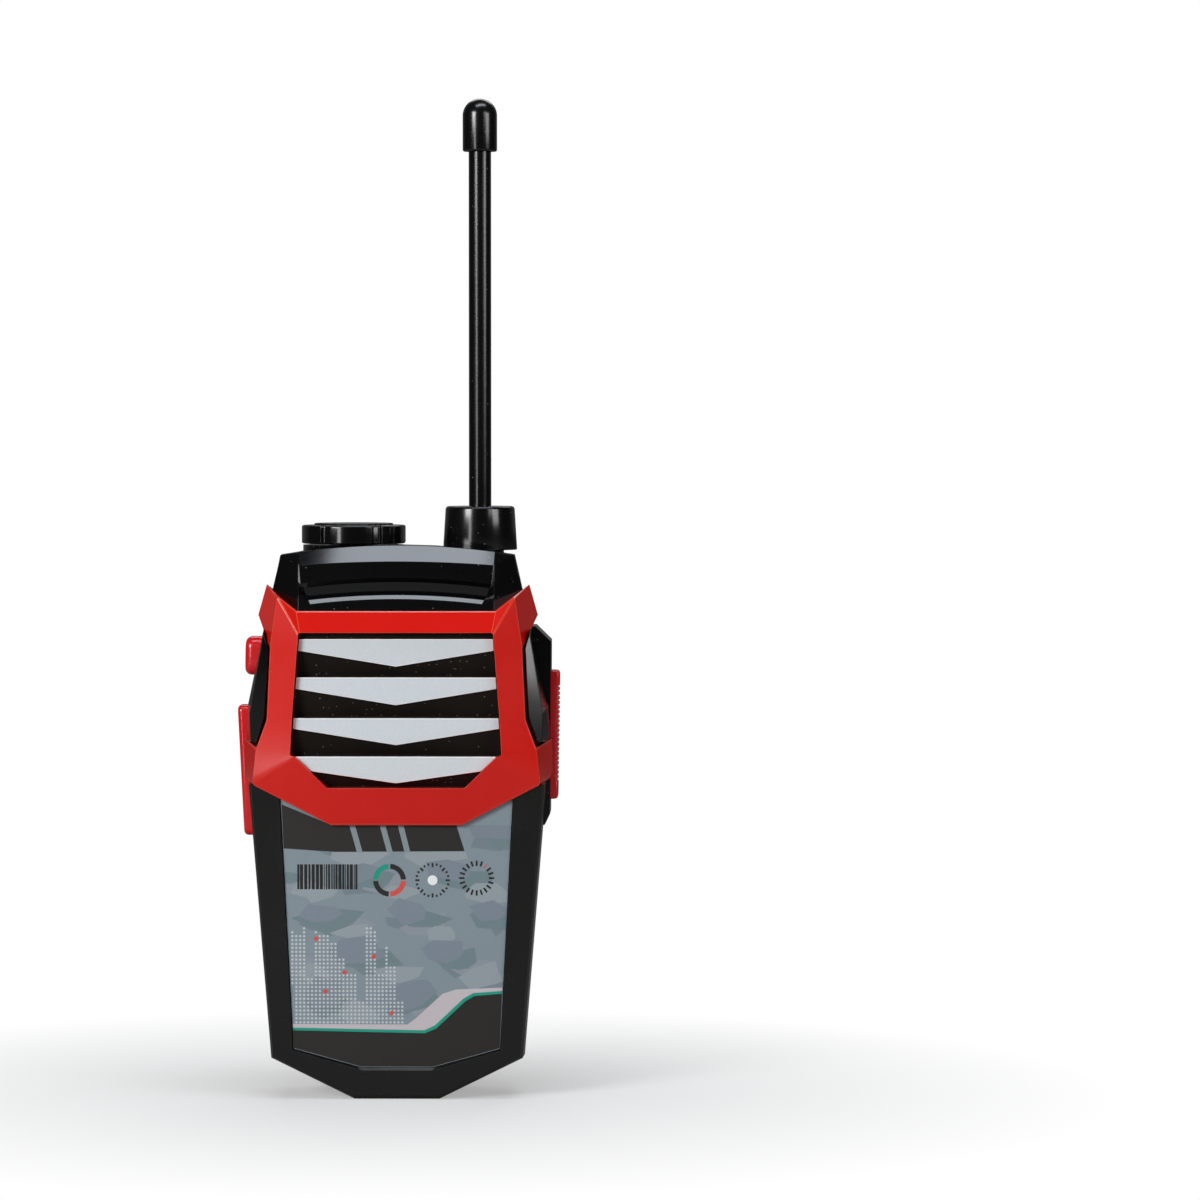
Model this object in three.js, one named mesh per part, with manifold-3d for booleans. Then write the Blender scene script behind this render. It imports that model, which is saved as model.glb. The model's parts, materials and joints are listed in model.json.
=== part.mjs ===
// A toy walkie talkie handset: a two-part black shell with a red clip-over bezel, a louvred speaker
// grille, three side keys, a volume knob, a flexible antenna, a 9 V battery bay and a belt clip.
// Millimetres. +X is the handset's right as its front is looked at, +Y points out of its back and
// +Z is up. The origin is the middle of the flat foot that it stands on.
import * as THREE from "three";
import { mergeVertices } from "three/addons/utils/BufferGeometryUtils.js";
import Module from "manifold-3d";

// ---- Driving dimensions ----
const FRONT = -15.5; // face of the frame round the label
const PARTING = -5; // the two shells meet here
const PARTING_GAP = 0.2;
const BACK = 17; // flat back of the rear shell
const GAP = 0.3; // clearance between neighbouring pieces
const WALL = 2.2;
const ARCH = { z: 129.5, corner: [27.4, 127.2] }; // the arched top of the shell
// Right halves of the outlines seen from the front, from the bottom up, as [x, z].
const CASE_HALF = [[10.6, 0], [29.7, 9.4], [35.6, 84], [35.2, 92], ARCH.corner, [18, 128.5], [9, 129.25]];
const BEZEL_HALF = [
  [15.2, 64.2], [35.8, 74.8], [36.3, 76], [36.2, 83.9], [32.6, 82.2], [30.2, 88.7],
  [29.4, 105.8], [32.9, 113], [30.8, 120.2], [23, 114.2],
];
const OPENING_HALF = [[16, 73], [23.3, 80.2], [24.6, 80.6], [22.6, 109.2]]; // hole in the bezel
const LABEL_HALF = [[8.1, 7.2], [24.3, 11.6], [27.3, 69.9], [15, 63.6]];
const BEZEL = { front: -18.6, fold: -16.2, bed: -14.2 }; // opening edge, facet fold, shell under it
const GRILLE = { base: -14.2, back: -13.3, trough: -15, vane: -16.6, face: -16.95 };
// Each louvre bar: the height of its top edge, of its two lower corners and of its lower point.
const BARS = [[107.7, 105, 101.3], [98.75, 96.1, 92.3], [89.25, 86.8, 83], [80.3, 76.9, 74.1]];
const SPEAKER = { z: 91, r: 20, front: -12.3, hole: 16.8 };
const BOARD = { hw: 24, bottom: 68, top: 114, front: 5, back: 6.6 };
const BAY = { hw: 13.9, bottom: 11.2, top: 65.4, front: -3, wall: 1.6 }; // battery bay
const DOOR = { hw: 15.7, bottom: 9.5, top: 73.5, inner: 15.3, screwZ: 70.5, tabs: [-8, 8] };
const KEY_Y = 2.5; // the middle of the three side keys
const KNOB = { x: -11, y: 4.5, r: 12.3, bottom: 129.5, top: 133.85, disc: 134.3, lobes: 6 };
const ANTENNA = { x: 18.9, y: 5, seat: 127.7, collar: 138.3, rod: 2.65, tip: 4.07, tipZ: 222, top: 234.5 };
const CLIP = { hw: 12, pinY: 19.9, pinZ: 112, inner: 22.6, outer: 24.8, bottom: 78, top: 123 };
const CASE_SCREWS = [[-21, 14.5], [21, 14.5], [-22.3, 118.5], [22.3, 118.5]];
const BOARD_SCREWS = [[-17, 70.8], [17, 111]];
const SPEAKER_SCREWS = [90, 210, 330].map((a) => {
  const t = THREE.MathUtils.degToRad(a);
  return [23.5 * Math.cos(t), SPEAKER.z + 23.5 * Math.sin(t)];
});

// ---- Materials ----
const finish = (color, roughness, metalness = 0) =>
  new THREE.MeshStandardMaterial({ color, roughness, metalness });
const BLACK = finish(0x141416, 0.25);
const RED = finish(0xd8221a, 0.35);
const SILVER = finish(0xcfd5d9, 0.5);
const PRINT = finish(0x7f8b92, 0.6);
const SOFT_BLACK = finish(0x101012, 0.35);
const CLOTH = finish(0x1b1b1b, 0.95);
const STEEL = finish(0xb8bcc0, 0.3, 1);
const BRASS = finish(0xc9a24a, 0.35, 1);
const MAGNET = finish(0x5a5c60, 0.5, 0.8);
const CONE = finish(0x2a2622, 0.8);
const BOARD_GREEN = finish(0x2f6b3a, 0.5);
const CHIP = finish(0x202022, 0.6);
const JACKET = finish(0x3b5d8c, 0.4);
const WIRE_RED = finish(0xb01c1c, 0.5);
const WIRE_BLACK = finish(0x18181a, 0.5);

// ---- Shape helpers ----
const wasm = await Module();
wasm.setup();

// Twice the signed volume of an indexed geometry, summed over its triangles.
function signedVolume(position, index) {
  const [a, b, c] = [new THREE.Vector3(), new THREE.Vector3(), new THREE.Vector3()];
  let sum = 0;
  for (let i = 0; i < index.length; i += 3) {
    a.fromBufferAttribute(position, index[i]);
    b.fromBufferAttribute(position, index[i + 1]);
    c.fromBufferAttribute(position, index[i + 2]);
    sum += a.dot(b.cross(c));
  }
  return sum;
}

// A closed three.js geometry as a solid that can be cut and joined.
function solid(geometry) {
  const bare = geometry.clone();
  bare.deleteAttribute("normal");
  bare.deleteAttribute("uv");
  const merged = mergeVertices(bare, 1e-4);
  const index = new Uint32Array(merged.index.array);
  if (signedVolume(merged.attributes.position, index) < 0) index.reverse();
  const vertProperties = new Float32Array(merged.attributes.position.array);
  return new wasm.Manifold(new wasm.Mesh({ numProp: 3, vertProperties, triVerts: index }));
}

const join = (first, ...rest) => rest.reduce((a, b) => a.add(b), first);
const cut = (first, ...rest) => rest.reduce((a, b) => a.subtract(b), first);

// A whole outline from its right half, which runs from the bottom up. A point on x = 0 isn't doubled.
const mirrored = (half) => [...half, ...half.filter(([x]) => x > 0).map(([x, z]) => [-x, z]).reverse()];

// The outline with each edge moved out by d, and the foot, the edge on z = 0, by its own distance.
function offset(points, d, foot = 0) {
  const n = points.length;
  const lines = points.map(([x, z], i) => {
    const [x2, z2] = points[(i + 1) % n];
    const length = Math.hypot(x2 - x, z2 - z);
    const [nx, nz] = [(z2 - z) / length, (x - x2) / length];
    return { nx, nz, c: nx * x + nz * z + (z === 0 && z2 === 0 ? foot : d) };
  });
  return points.map((_, i) => {
    const [p, q] = [lines[(i + n - 1) % n], lines[i]];
    const det = p.nx * q.nz - p.nz * q.nx;
    return [(p.c * q.nz - q.c * p.nz) / det, (p.nx * q.c - q.nx * p.c) / det];
  });
}

const inset = (points, d) => offset(points, -d, -d);
const shapeOf = (points) => new THREE.Shape(points.map(([x, z]) => new THREE.Vector2(x, z)));

// An outline in the X-Z plane carried from y = front to y = back.
function prism(shape, front, back, curveSegments = 6) {
  const made = Array.isArray(shape) ? shapeOf(shape) : shape;
  const options = { depth: back - front, bevelEnabled: false, curveSegments };
  const geometry = new THREE.ExtrudeGeometry(made, options);
  return solid(geometry.rotateX(Math.PI / 2).translate(0, back, 0));
}

const box = (x0, x1, y0, y1, z0, z1) =>
  solid(
    new THREE.BoxGeometry(x1 - x0, y1 - y0, z1 - z0)
      .translate((x0 + x1) / 2, (y0 + y1) / 2, (z0 + z1) / 2),
  );

// A solid through outlines of equal point count, each { y, points }, from the front to the back.
function loft(rings) {
  const n = rings[0].points.length;
  const position = rings.flatMap(({ y, points }) => points.flatMap(([x, z]) => [x, y, z]));
  const index = [];
  for (let r = 0; r + 1 < rings.length; r++)
    for (let i = 0; i < n; i++) {
      const [a, b] = [r * n + i, r * n + ((i + 1) % n)];
      index.push(a, b, b + n, a, b + n, a + n);
    }
  const cap = (ring, base, flip) => {
    const flat = ring.points.map(([x, z]) => new THREE.Vector2(x, z));
    for (const t of THREE.ShapeUtils.triangulateShape(flat, []))
      index.push(...(flip ? [t[0], t[2], t[1]] : t).map((i) => i + base));
  };
  const last = rings.length - 1;
  cap(rings[0], 0, true);
  cap(rings[last], last * n, false);
  const geometry = new THREE.BufferGeometry();
  geometry.setAttribute("position", new THREE.Float32BufferAttribute(position, 3));
  geometry.setIndex(index);
  return solid(geometry);
}

// A turned shape: [radius, height] pairs about an upright axis at (x, y).
const turnedUp = (profile, x, y, segments = 28) =>
  solid(
    new THREE.LatheGeometry(profile.map(([r, z]) => new THREE.Vector2(r, z)), segments)
      .rotateX(Math.PI / 2)
      .translate(x, y, 0),
  );

// A turned shape about an axis along +Y through (x, z): [radius, y] pairs.
const turnedBack = (profile, x, z, segments = 28) =>
  solid(
    new THREE.LatheGeometry(profile.map(([r, y]) => new THREE.Vector2(r, y)), segments)
      .translate(x, 0, z),
  );

const rod = (r, y0, y1, x, z, segments = 16) =>
  turnedBack([[0, y0], [r, y0], [r, y1], [0, y1]], x, z, segments);

// A round bar along X.
const crossBar = (r, x0, x1, y, z, segments = 16) =>
  solid(
    new THREE.CylinderGeometry(r, r, x1 - x0, segments)
      .rotateZ(Math.PI / 2)
      .translate((x0 + x1) / 2, y, z),
  );

// A round wire along a smooth curve through the points.
function wire(points, r, steps = 18, sides = 6) {
  const path = new THREE.CatmullRomCurve3(points.map((p) => new THREE.Vector3(...p)));
  const section = new THREE.Shape();
  for (let i = 0; i < sides; i++) {
    const a = (2 * Math.PI * i) / sides;
    section[i ? "lineTo" : "moveTo"](r * Math.cos(a), r * Math.sin(a));
  }
  return solid(new THREE.ExtrudeGeometry(section, { steps, extrudePath: path, bevelEnabled: false }));
}

const handset = new THREE.Group();
function piece(name, made, material) {
  const mesh = made.getMesh();
  const position = new Float32Array(mesh.numVert * 3);
  for (let i = 0; i < mesh.numVert; i++)
    position.set(mesh.vertProperties.subarray(i * mesh.numProp, i * mesh.numProp + 3), i * 3);
  const geometry = new THREE.BufferGeometry();
  geometry.setAttribute("position", new THREE.BufferAttribute(position, 3));
  geometry.setIndex(new THREE.BufferAttribute(mesh.triVerts, 1));
  geometry.computeVertexNormals();
  const node = new THREE.Mesh(geometry, material);
  node.name = name;
  handset.add(node);
}

// The span from a to b on the right (side 1), or its mirror image on the left (side -1), low end first.
const between = (side, a, b) => (side > 0 ? [a, b] : [-b, -a]);

const caseOutline = mirrored([...CASE_HALF, [0, ARCH.z]]);
const bezelOutline = mirrored(BEZEL_HALF);
const openingOutline = mirrored(OPENING_HALF);
const labelOutline = mirrored(LABEL_HALF);

// ---- Front shell ----
// Outer skin: drafted sides, then a chamfer round the front face.
const frontSkin = loft([
  { y: FRONT, points: inset(caseOutline, 2.2) },
  { y: -13.3, points: offset(caseOutline, -0.8) },
  { y: PARTING, points: caseOutline },
]);
// The lower body that the bezel clips over, grown by d on every face.
const bedUnderBezel = (d) =>
  loft([
    { y: BEZEL.bed - d, points: offset(caseOutline, -3.4 + d) },
    { y: -12.5 - d / 2, points: offset(caseOutline, -2.2 + d) },
    { y: PARTING, points: offset(caseOutline, -1.7 + d) },
  ]);

// The brow over the bezel: a visor whose top and sides fold back, with a finger groove across it.
const browHalf = (z0, side, top) => [
  [29.6 - side, z0], [27.3 - side, 126.9 - top], [18, 128.4 - top], [9, 129.1 - top], [0, 129.3 - top],
];
const brow = cut(
  loft([
    { y: -17, points: mirrored(browHalf(114.6, 3.4, 3.4)) },
    { y: -13, points: mirrored(browHalf(114.6, 0.9, 0.4)) },
  ]),
  box(-21, 21, -18, -15, 117.3, 120.8),
  box(-30, 30, -18, -15.9, 110, 117.3),
);

const screwPost = (r, hole, y0, y1, x, z) => cut(rod(r, y0, y1, x, z), rod(hole, y0 + 1, y1 + 1, x, z));
const frontCavity = join(
  loft([
    { y: -12.4, points: inset(caseOutline, 4.2) },
    { y: PARTING + 1, points: inset(caseOutline, 3.4) },
  ]),
  loft([
    { y: -12.4, points: inset(caseOutline, 2.8) },
    { y: PARTING + 1, points: inset(caseOutline, WALL) },
  ]).intersect(box(-40, 40, -20, 0, -1, 60)),
);
const bezelBed = prism(offset(bezelOutline, GAP), -25, PARTING + 1).subtract(bedUnderBezel(0));
const speakerSeat = cut(
  rod(21.8, -12.5, -11.2, 0, SPEAKER.z, 32),
  rod(20.3, -13, -9, 0, SPEAKER.z, 32),
);
const frontPosts = [
  ...CASE_SCREWS.map(([x, z]) => rod(2.6, -12.5, PARTING - 0.1, x, z)),
  ...SPEAKER_SCREWS.map(([x, z]) => rod(2.4, -12.5, -11.1, x, z)),
];
const frontHoles = [
  ...CASE_SCREWS.map(([x, z]) => rod(1.6, -12, PARTING + 1, x, z, 12)),
  ...SPEAKER_SCREWS.map(([x, z]) => rod(1.4, -13.4, -10, x, z, 12)),
];
piece(
  "front_case",
  cut(
    join(cut(join(frontSkin, brow), bezelBed, frontCavity), speakerSeat, ...frontPosts),
    ...frontHoles,
    prism(offset(labelOutline, GAP), -20, -14.7),
    box(-26.3, 26.3, -15, GRILLE.back, 71.7, 110.7), // seat of the grille plate
    rod(SPEAKER.hole, -15, -11.9, 0, SPEAKER.z, 32),
  ),
  BLACK,
);

// ---- Red bezel ----
const bezelEnvelope = loft([
  {
    y: BEZEL.front,
    points: mirrored([
      [16.6, 72.4], [25, 79.6], [25.2, 81], [24.9, 88.7], [23.8, 105.8], [23.3, 109.4], [22.6, 110],
    ]),
  },
  {
    y: BEZEL.fold,
    points: mirrored([
      [15.2, 64.2], [33.9, 73.8], [32.9, 82.2], [30.5, 88.7], [29.7, 105.8], [27.7, 117.8], [23, 114.2],
    ]),
  },
  {
    y: PARTING - GAP,
    points: mirrored([
      [15.4, 62.5], [36.6, 74], [36.6, 84], [36.2, 90], [33.6, 112], [31.5, 121.5], [23.5, 115.5],
    ]),
  },
]);
piece(
  "trim_bezel",
  cut(
    prism(bezelOutline, -20, PARTING - GAP).intersect(bezelEnvelope),
    bedUnderBezel(GAP),
    prism(openingOutline, -20, -10),
  ),
  RED,
);

// ---- Louvred grille ----
// Black plate: a flange behind the bezel, and four chevron vanes with a sound slot over each.
const openingFit = offset(openingOutline, -0.25);
const vaneBlock = prism(openingFit, GRILLE.vane, GRILLE.base + 0.1);
const troughs = BARS.map(([, corner, point], i) => {
  const floor = i + 1 < BARS.length ? BARS[i + 1][0] : 70;
  return prism(mirrored([[30, floor], [30, corner - 0.9], [0, point]]), -20, GRILLE.trough);
});
const slots = BARS.map(([top]) => box(-19, 19, -18, -12, top + 0.2, top + 1.3)).slice(1);
piece(
  "louvre_panel",
  cut(
    join(vaneBlock, box(-26, 26, GRILLE.base, GRILLE.back, 72, 110.4)),
    ...troughs,
    prism([[-30, BARS[0][0]], [30, BARS[0][0]], [30, 115], [-30, 115]], -20, GRILLE.trough),
    ...slots,
    box(-19, 19, -18, -12, BARS[0][0] + 0.1, BARS[0][0] + 0.9),
  ),
  BLACK,
);
// Pale facing on the front of each vane.
BARS.forEach(([top, corner, point], i) => {
  const outline = mirrored([[0, point], [30, corner - 0.9], [30, top]]);
  const facing = prism(outline, GRILLE.face, GRILLE.vane).intersect(prism(openingFit, -20, -10));
  piece(`louvre_face_${i + 1}`, facing, SILVER);
});
piece("grille_cloth", rod(SPEAKER.hole - GAP, -13, -12.6, 0, SPEAKER.z, 32), CLOTH);

// ---- Printed label ----
piece("front_label", prism(labelOutline, -14.95, -14.7), PRINT);

// ---- Rear shell ----
const rearStart = PARTING + PARTING_GAP;
const rearSkin = loft([
  { y: rearStart, points: caseOutline },
  { y: 11, points: offset(caseOutline, -0.8) },
  { y: BACK, points: inset(caseOutline, 4.5) },
]);
const rearCavity = loft([
  { y: rearStart - 1, points: inset(caseOutline, WALL) },
  { y: 10, points: inset(caseOutline, 3) },
  { y: 15, points: inset(caseOutline, 6.5) },
]);
const talkPod = prism(
  [[30, 62.5], [34.4, 63.5], [35.6, 66], [35.8, 106.7], [32.2, 110.2], [29, 110.2]],
  rearStart, 9.5,
);
const knobPlinth = turnedUp([[0, 122], [12, 122], [12, 129.2], [0, 129.2]], KNOB.x, KNOB.y)
  .intersect(box(-40, 40, rearStart, BACK - 1, 120, 135));
const antennaBoss = turnedUp([[0, 125.2], [8.8, 125.2], [8.8, 129], [0, 129]], ANTENNA.x, ANTENNA.y);
const antennaSeat = turnedUp(
  [[0, ANTENNA.seat], [9.05, ANTENNA.seat], [9.05, 135], [0, 135]], ANTENNA.x, ANTENNA.y,
);
const bayBlock = box(
  -BAY.hw - BAY.wall, BAY.hw + BAY.wall, BAY.front - BAY.wall, 15.5,
  BAY.bottom - BAY.wall, BAY.top + BAY.wall,
);
const rearPosts = [
  ...CASE_SCREWS.map(([x, z]) => rod(3.9, rearStart, 14, x, z)),
  ...BOARD_SCREWS.map(([x, z]) => rod(2.3, BOARD.back + 0.1, 15.5, x, z)),
  rod(3, 8.5, 15.5, 0, DOOR.screwZ),
];
const rearHoles = [
  ...CASE_SCREWS.flatMap(([x, z]) => [rod(1.7, -6, 12, x, z, 12), rod(3.1, 10, 18, x, z)]),
  ...BOARD_SCREWS.map(([x, z]) => rod(1.3, 6, 13, x, z, 12)),
  rod(1.9, 8, 18, 0, DOOR.screwZ),
];
const clipLugs = [-1, 1].map((side) =>
  cut(
    join(
      box(...between(side, 7, 9.5), 16.5, CLIP.pinY, CLIP.pinZ - 2.4, CLIP.pinZ + 2.4),
      crossBar(2.4, ...between(side, 7, 9.5), CLIP.pinY, CLIP.pinZ, 20),
    ),
    crossBar(1.4, -12, 12, CLIP.pinY, CLIP.pinZ),
  ),
);
const shellWithPosts = join(
  cut(join(rearSkin, talkPod, knobPlinth), rearCavity, box(28, 34, -2.6, 7.6, 66.5, 102.6)),
  bayBlock.intersect(rearSkin),
  antennaBoss.intersect(rearSkin),
  ...rearPosts.map((post) => post.intersect(rearSkin)),
  ...clipLugs,
);
const callSlot = box(-40, -26, KEY_Y - 4.05, KEY_Y + 4.05, 98.2, 107.9);
const morseSlot = box(-40, -28, KEY_Y - 3.55, KEY_Y + 3.55, 60.3, 91.7);
const talkSlot = box(33, 40, KEY_Y - 3.8, KEY_Y + 3.8, 69, 99.9);
piece(
  "rear_case",
  cut(
    shellWithPosts,
    ...rearHoles,
    antennaSeat,
    callSlot,
    morseSlot,
    talkSlot,
    box(-BAY.hw, BAY.hw, BAY.front, 20, BAY.bottom, BAY.top), // battery bay
    box(-6, 6, 0, 4.5, BAY.top - 1, BAY.top + 3), // notch for the battery leads
    box(-16, 16, DOOR.inner - 0.1, 20, DOOR.bottom - GAP, DOOR.top + GAP), // door recess
    ...DOOR.tabs.map((x) => box(x - 2.3, x + 2.3, 14.4, 16.5, DOOR.bottom - 1.9, BAY.bottom + 0.2)),
    turnedUp([[0, 115], [4.8, 115], [4.8, 126.6], [3.5, 126.7], [3.5, 135], [0, 135]], KNOB.x, KNOB.y),
    turnedUp([[0, 120], [6, 120], [6, 135], [0, 135]], ANTENNA.x, ANTENNA.y),
  ),
  BLACK,
);

// ---- Side keys ----
// The call button on the left: a rounded cap, a retaining flange inside the wall and a stem.
const callCap = new THREE.Shape();
callCap.moveTo(-28, 98.5);
callCap.lineTo(-34.4, 98.5);
callCap.absarc(-34.4, 100.5, 2, -Math.PI / 2, -Math.PI, true);
callCap.lineTo(-36.4, 105.6);
callCap.absarc(-34.4, 105.6, 2, Math.PI, Math.PI / 2, true);
callCap.lineTo(-28, 107.6);
piece(
  "call_button",
  join(
    prism(callCap, KEY_Y - 3.75, KEY_Y + 3.75),
    prism([[-29.2, 97.6], [-30.4, 97.6], [-28.1, 108.4], [-26.9, 108.4]], KEY_Y - 5, KEY_Y + 5),
    box(-29.4, -25.1, KEY_Y - 1.5, KEY_Y + 1.5, 101.5, 104.5),
  ),
  RED,
);
// The long Morse key under it, which follows the slope of the wall.
piece(
  "morse_key",
  join(
    prism(
      [[-30, 60.6], [-36.1, 60.6], [-36.75, 61.3], [-38.2, 90.6], [-37.6, 91.4], [-30, 91.4]],
      KEY_Y - 3.25, KEY_Y + 3.25,
    ),
    prism([[-29.2, 59.4], [-30.4, 59.4], [-31.6, 92.6], [-30.4, 92.6]], KEY_Y - 4.4, KEY_Y + 4.4),
    box(-30.4, -25.1, KEY_Y - 1.5, KEY_Y + 1.5, 74.5, 77.5),
  ),
  RED,
);
// The ribbed push-to-talk key on the right.
const RIB = { count: 21, pitch: 1.1, first: 73.5, depth: 0.45, groove: 0.5 };
const ribGrooves = Array.from({ length: RIB.count }, (_, i) => {
  const z = RIB.first + i * RIB.pitch;
  return box(37.4 - RIB.depth, 40, KEY_Y - 5, KEY_Y + 5, z, z + RIB.groove);
});
piece(
  "talk_key",
  join(
    cut(
      prism(
        [[32.5, 69.3], [37.1, 69.3], [37.45, 69.7], [37.9, 99.1], [37.5, 99.6], [32.5, 99.6]],
        KEY_Y - 3.5, KEY_Y + 3.5,
      ),
      ...ribGrooves,
    ),
    box(31.6, 33.2, KEY_Y - 4.6, KEY_Y + 4.6, 67.4, 101.6),
    box(25.1, 32, KEY_Y - 1.5, KEY_Y + 1.5, 83, 86),
  ),
  RED,
);
// A push switch on the board behind each key, with its plunger.
const SWITCHES = [
  { name: "call", side: -1, z: 103, half: 3 },
  { name: "morse", side: -1, z: 76, half: 3 },
  { name: "talk", side: 1, z: 84.5, half: 6.5 },
];
for (const { name, side, z, half } of SWITCHES) {
  const body = cut(
    box(...between(side, 19, 23.5), BOARD.front - 5.5, BOARD.front - 0.1, z - half, z + half),
    crossBar(1.7, ...between(side, 19.6, 25), KEY_Y, z),
  );
  piece(`${name}_switch`, body, CHIP);
  piece(`${name}_plunger`, crossBar(1.4, ...between(side, 21.6, 24.8), KEY_Y, z), WIRE_BLACK);
}

// ---- Volume knob and potentiometer ----
const knobOutline = new THREE.Shape();
const groove = { half: THREE.MathUtils.degToRad(5), depth: 0.9 };
for (let i = 0; i < KNOB.lobes; i++) {
  const pitch = (2 * Math.PI) / KNOB.lobes;
  const [from, to] = [i * pitch + groove.half, (i + 1) * pitch - groove.half];
  knobOutline.absarc(0, 0, KNOB.r, from, to, false);
  knobOutline.absarc(0, 0, KNOB.r - groove.depth, to + 0.03, to + 2 * groove.half - 0.03, false);
}
const knobHeight = { depth: KNOB.top - KNOB.bottom, bevelEnabled: false, curveSegments: 5 };
const knobBody = solid(
  new THREE.ExtrudeGeometry(knobOutline, knobHeight).translate(KNOB.x, KNOB.y, KNOB.bottom),
);
piece(
  "volume_knob",
  cut(
    join(knobBody, turnedUp([[0, 133], [9.3, 133], [9.3, KNOB.disc], [0, KNOB.disc]], KNOB.x, KNOB.y, 32)),
    turnedUp([[0, 129], [3.2, 129], [3.2, 132.5], [0, 132.5]], KNOB.x, KNOB.y, 20),
  ),
  BLACK,
);
piece(
  "volume_pot",
  turnedUp(
    [[0, 115.6], [7, 115.6], [7, 121.6], [4.5, 121.6], [4.5, 126.3], [3.3, 126.3], [3.3, 117], [0, 117]],
    KNOB.x, KNOB.y, 24,
  ),
  STEEL,
);
piece("pot_shaft", turnedUp([[0, 117.3], [3, 117.3], [3, 132.2], [0, 132.2]], KNOB.x, KNOB.y, 20), BRASS);

// ---- Antenna ----
const { x: ax, y: ay } = ANTENNA;
// A conical collar plugged into the top of the shell; its bore flares so that the rod can lean.
piece(
  "antenna_collar",
  turnedUp(
    [
      [4.1, 124], [5.7, 124], [5.7, 128], [8.75, 128], [8.2, 137.6], [7.5, ANTENNA.collar],
      [3.25, ANTENNA.collar], [3.25, 137.6], [5.6, 130.8], [4.1, 129.4], [4.1, 124],
    ],
    ax, ay,
  ),
  BLACK,
);
piece(
  "antenna_rod",
  turnedUp(
    [
      [0.8, 131], [2.4, 131], [ANTENNA.rod, 132], [ANTENNA.rod, 224.6],
      [0, 224.6], [0, 216], [0.8, 216], [0.8, 131],
    ],
    ax, ay, 20,
  ),
  SOFT_BLACK,
);
piece("antenna_core", turnedUp([[0, 130.6], [0.55, 130.6], [0.55, 215], [0, 215]], ax, ay, 10), STEEL);
const domeSteps = 6;
const dome = Array.from({ length: domeSteps }, (_, i) => {
  const t = (i / domeSteps) * (Math.PI / 2);
  return [ANTENNA.tip * Math.sin(t), ANTENNA.top - ANTENNA.tip * (1 - Math.cos(t))];
});
piece(
  "antenna_tip",
  turnedUp(
    [
      ...dome, [ANTENNA.tip, ANTENNA.top - ANTENNA.tip], [ANTENNA.tip, ANTENNA.tipZ],
      [2.95, ANTENNA.tipZ], [2.95, 225], [0, 225],
    ],
    ax, ay, 24,
  ),
  SOFT_BLACK,
);
piece(
  "antenna_lead",
  wire([[ax, ay, 128.4], [ax, ay, 122.5], [14.5, 3.4, 118], [12, 3.4, 112.4], [12, 4.6, 110.6]], 0.5),
  WIRE_BLACK,
);

// ---- Speaker ----
const sp = SPEAKER;
piece(
  "speaker_frame",
  turnedBack(
    [
      [sp.r, sp.front], [sp.r, sp.front + 1.2], [17.4, sp.front + 1.4], [11.6, -5.6], [9, -5.2],
      [9, -6], [11, -6.5], [16.6, sp.front + 1.1], [17, sp.front], [sp.r, sp.front],
    ],
    0, sp.z,
  ),
  STEEL,
);
piece(
  "speaker_cone",
  turnedBack(
    [[0, -10.4], [5, -9.2], [6.4, -8.4], [15.8, -11.7], [15.8, -11.4], [6.4, -8], [4.8, -8.8], [0, -10]],
    0, sp.z,
  ),
  CONE,
);
const magnet = turnedBack([[0, -5], [11, -5], [11, -0.8], [10.4, -0.4], [0, -0.4]], 0, sp.z);
piece("speaker_magnet", magnet, MAGNET);
SPEAKER_SCREWS.forEach(([x, z], i) =>
  piece(
    `speaker_screw_${i + 1}`,
    turnedBack(
      [
        [0, -13.2], [1.1, -13.2], [1.1, -10.9], [4.4, -10.9],
        [4.4, -10.5], [2.4, -10.5], [2, -9.3], [0, -9.3],
      ],
      x, z, 16,
    ),
    STEEL,
  ),
);

// ---- Circuit board ----
piece(
  "circuit_board",
  cut(
    box(-BOARD.hw, BOARD.hw, BOARD.front, BOARD.back, BOARD.bottom, BOARD.top),
    ...BOARD_SCREWS.map(([x, z]) => rod(1.5, 0, 10, x, z, 12)),
  ),
  BOARD_GREEN,
);
const partsY = BOARD.back + 0.1; // components stand on the back of the board
piece("radio_chip", box(-1, 9, partsY, partsY + 3.3, 91, 98), CHIP);
piece("tuning_coil", box(-16, -8, partsY, partsY + 7.8, 84, 92), STEEL);
piece("crystal", box(8, 19, partsY, partsY + 4, 78, 82), STEEL);
[[-6, 103], [4, 105]].forEach(([x, z], i) =>
  piece(`capacitor_${i + 1}`, rod(3.1, partsY, partsY + 7.6, x, z), JACKET),
);
BOARD_SCREWS.forEach(([x, z], i) =>
  piece(
    `board_screw_${i + 1}`,
    turnedBack([[0, 3.2], [1.7, 3.3], [2.2, 4.2], [2.2, 4.9], [1.1, 4.9], [1.1, 12], [0, 12.4]], x, z, 16),
    STEEL,
  ),
);
[["a", -1], ["b", 1]].forEach(([name, side]) =>
  piece(
    `speaker_lead_${name}`,
    wire(
      [[side * 6, -9.6, 73.4], [side * 7.5, -5.5, 71.6], [side * 12, 0.5, 73], [side * 14, 4.4, 79.5]],
      0.45,
    ),
    side < 0 ? WIRE_BLACK : WIRE_RED,
  ),
);

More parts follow.
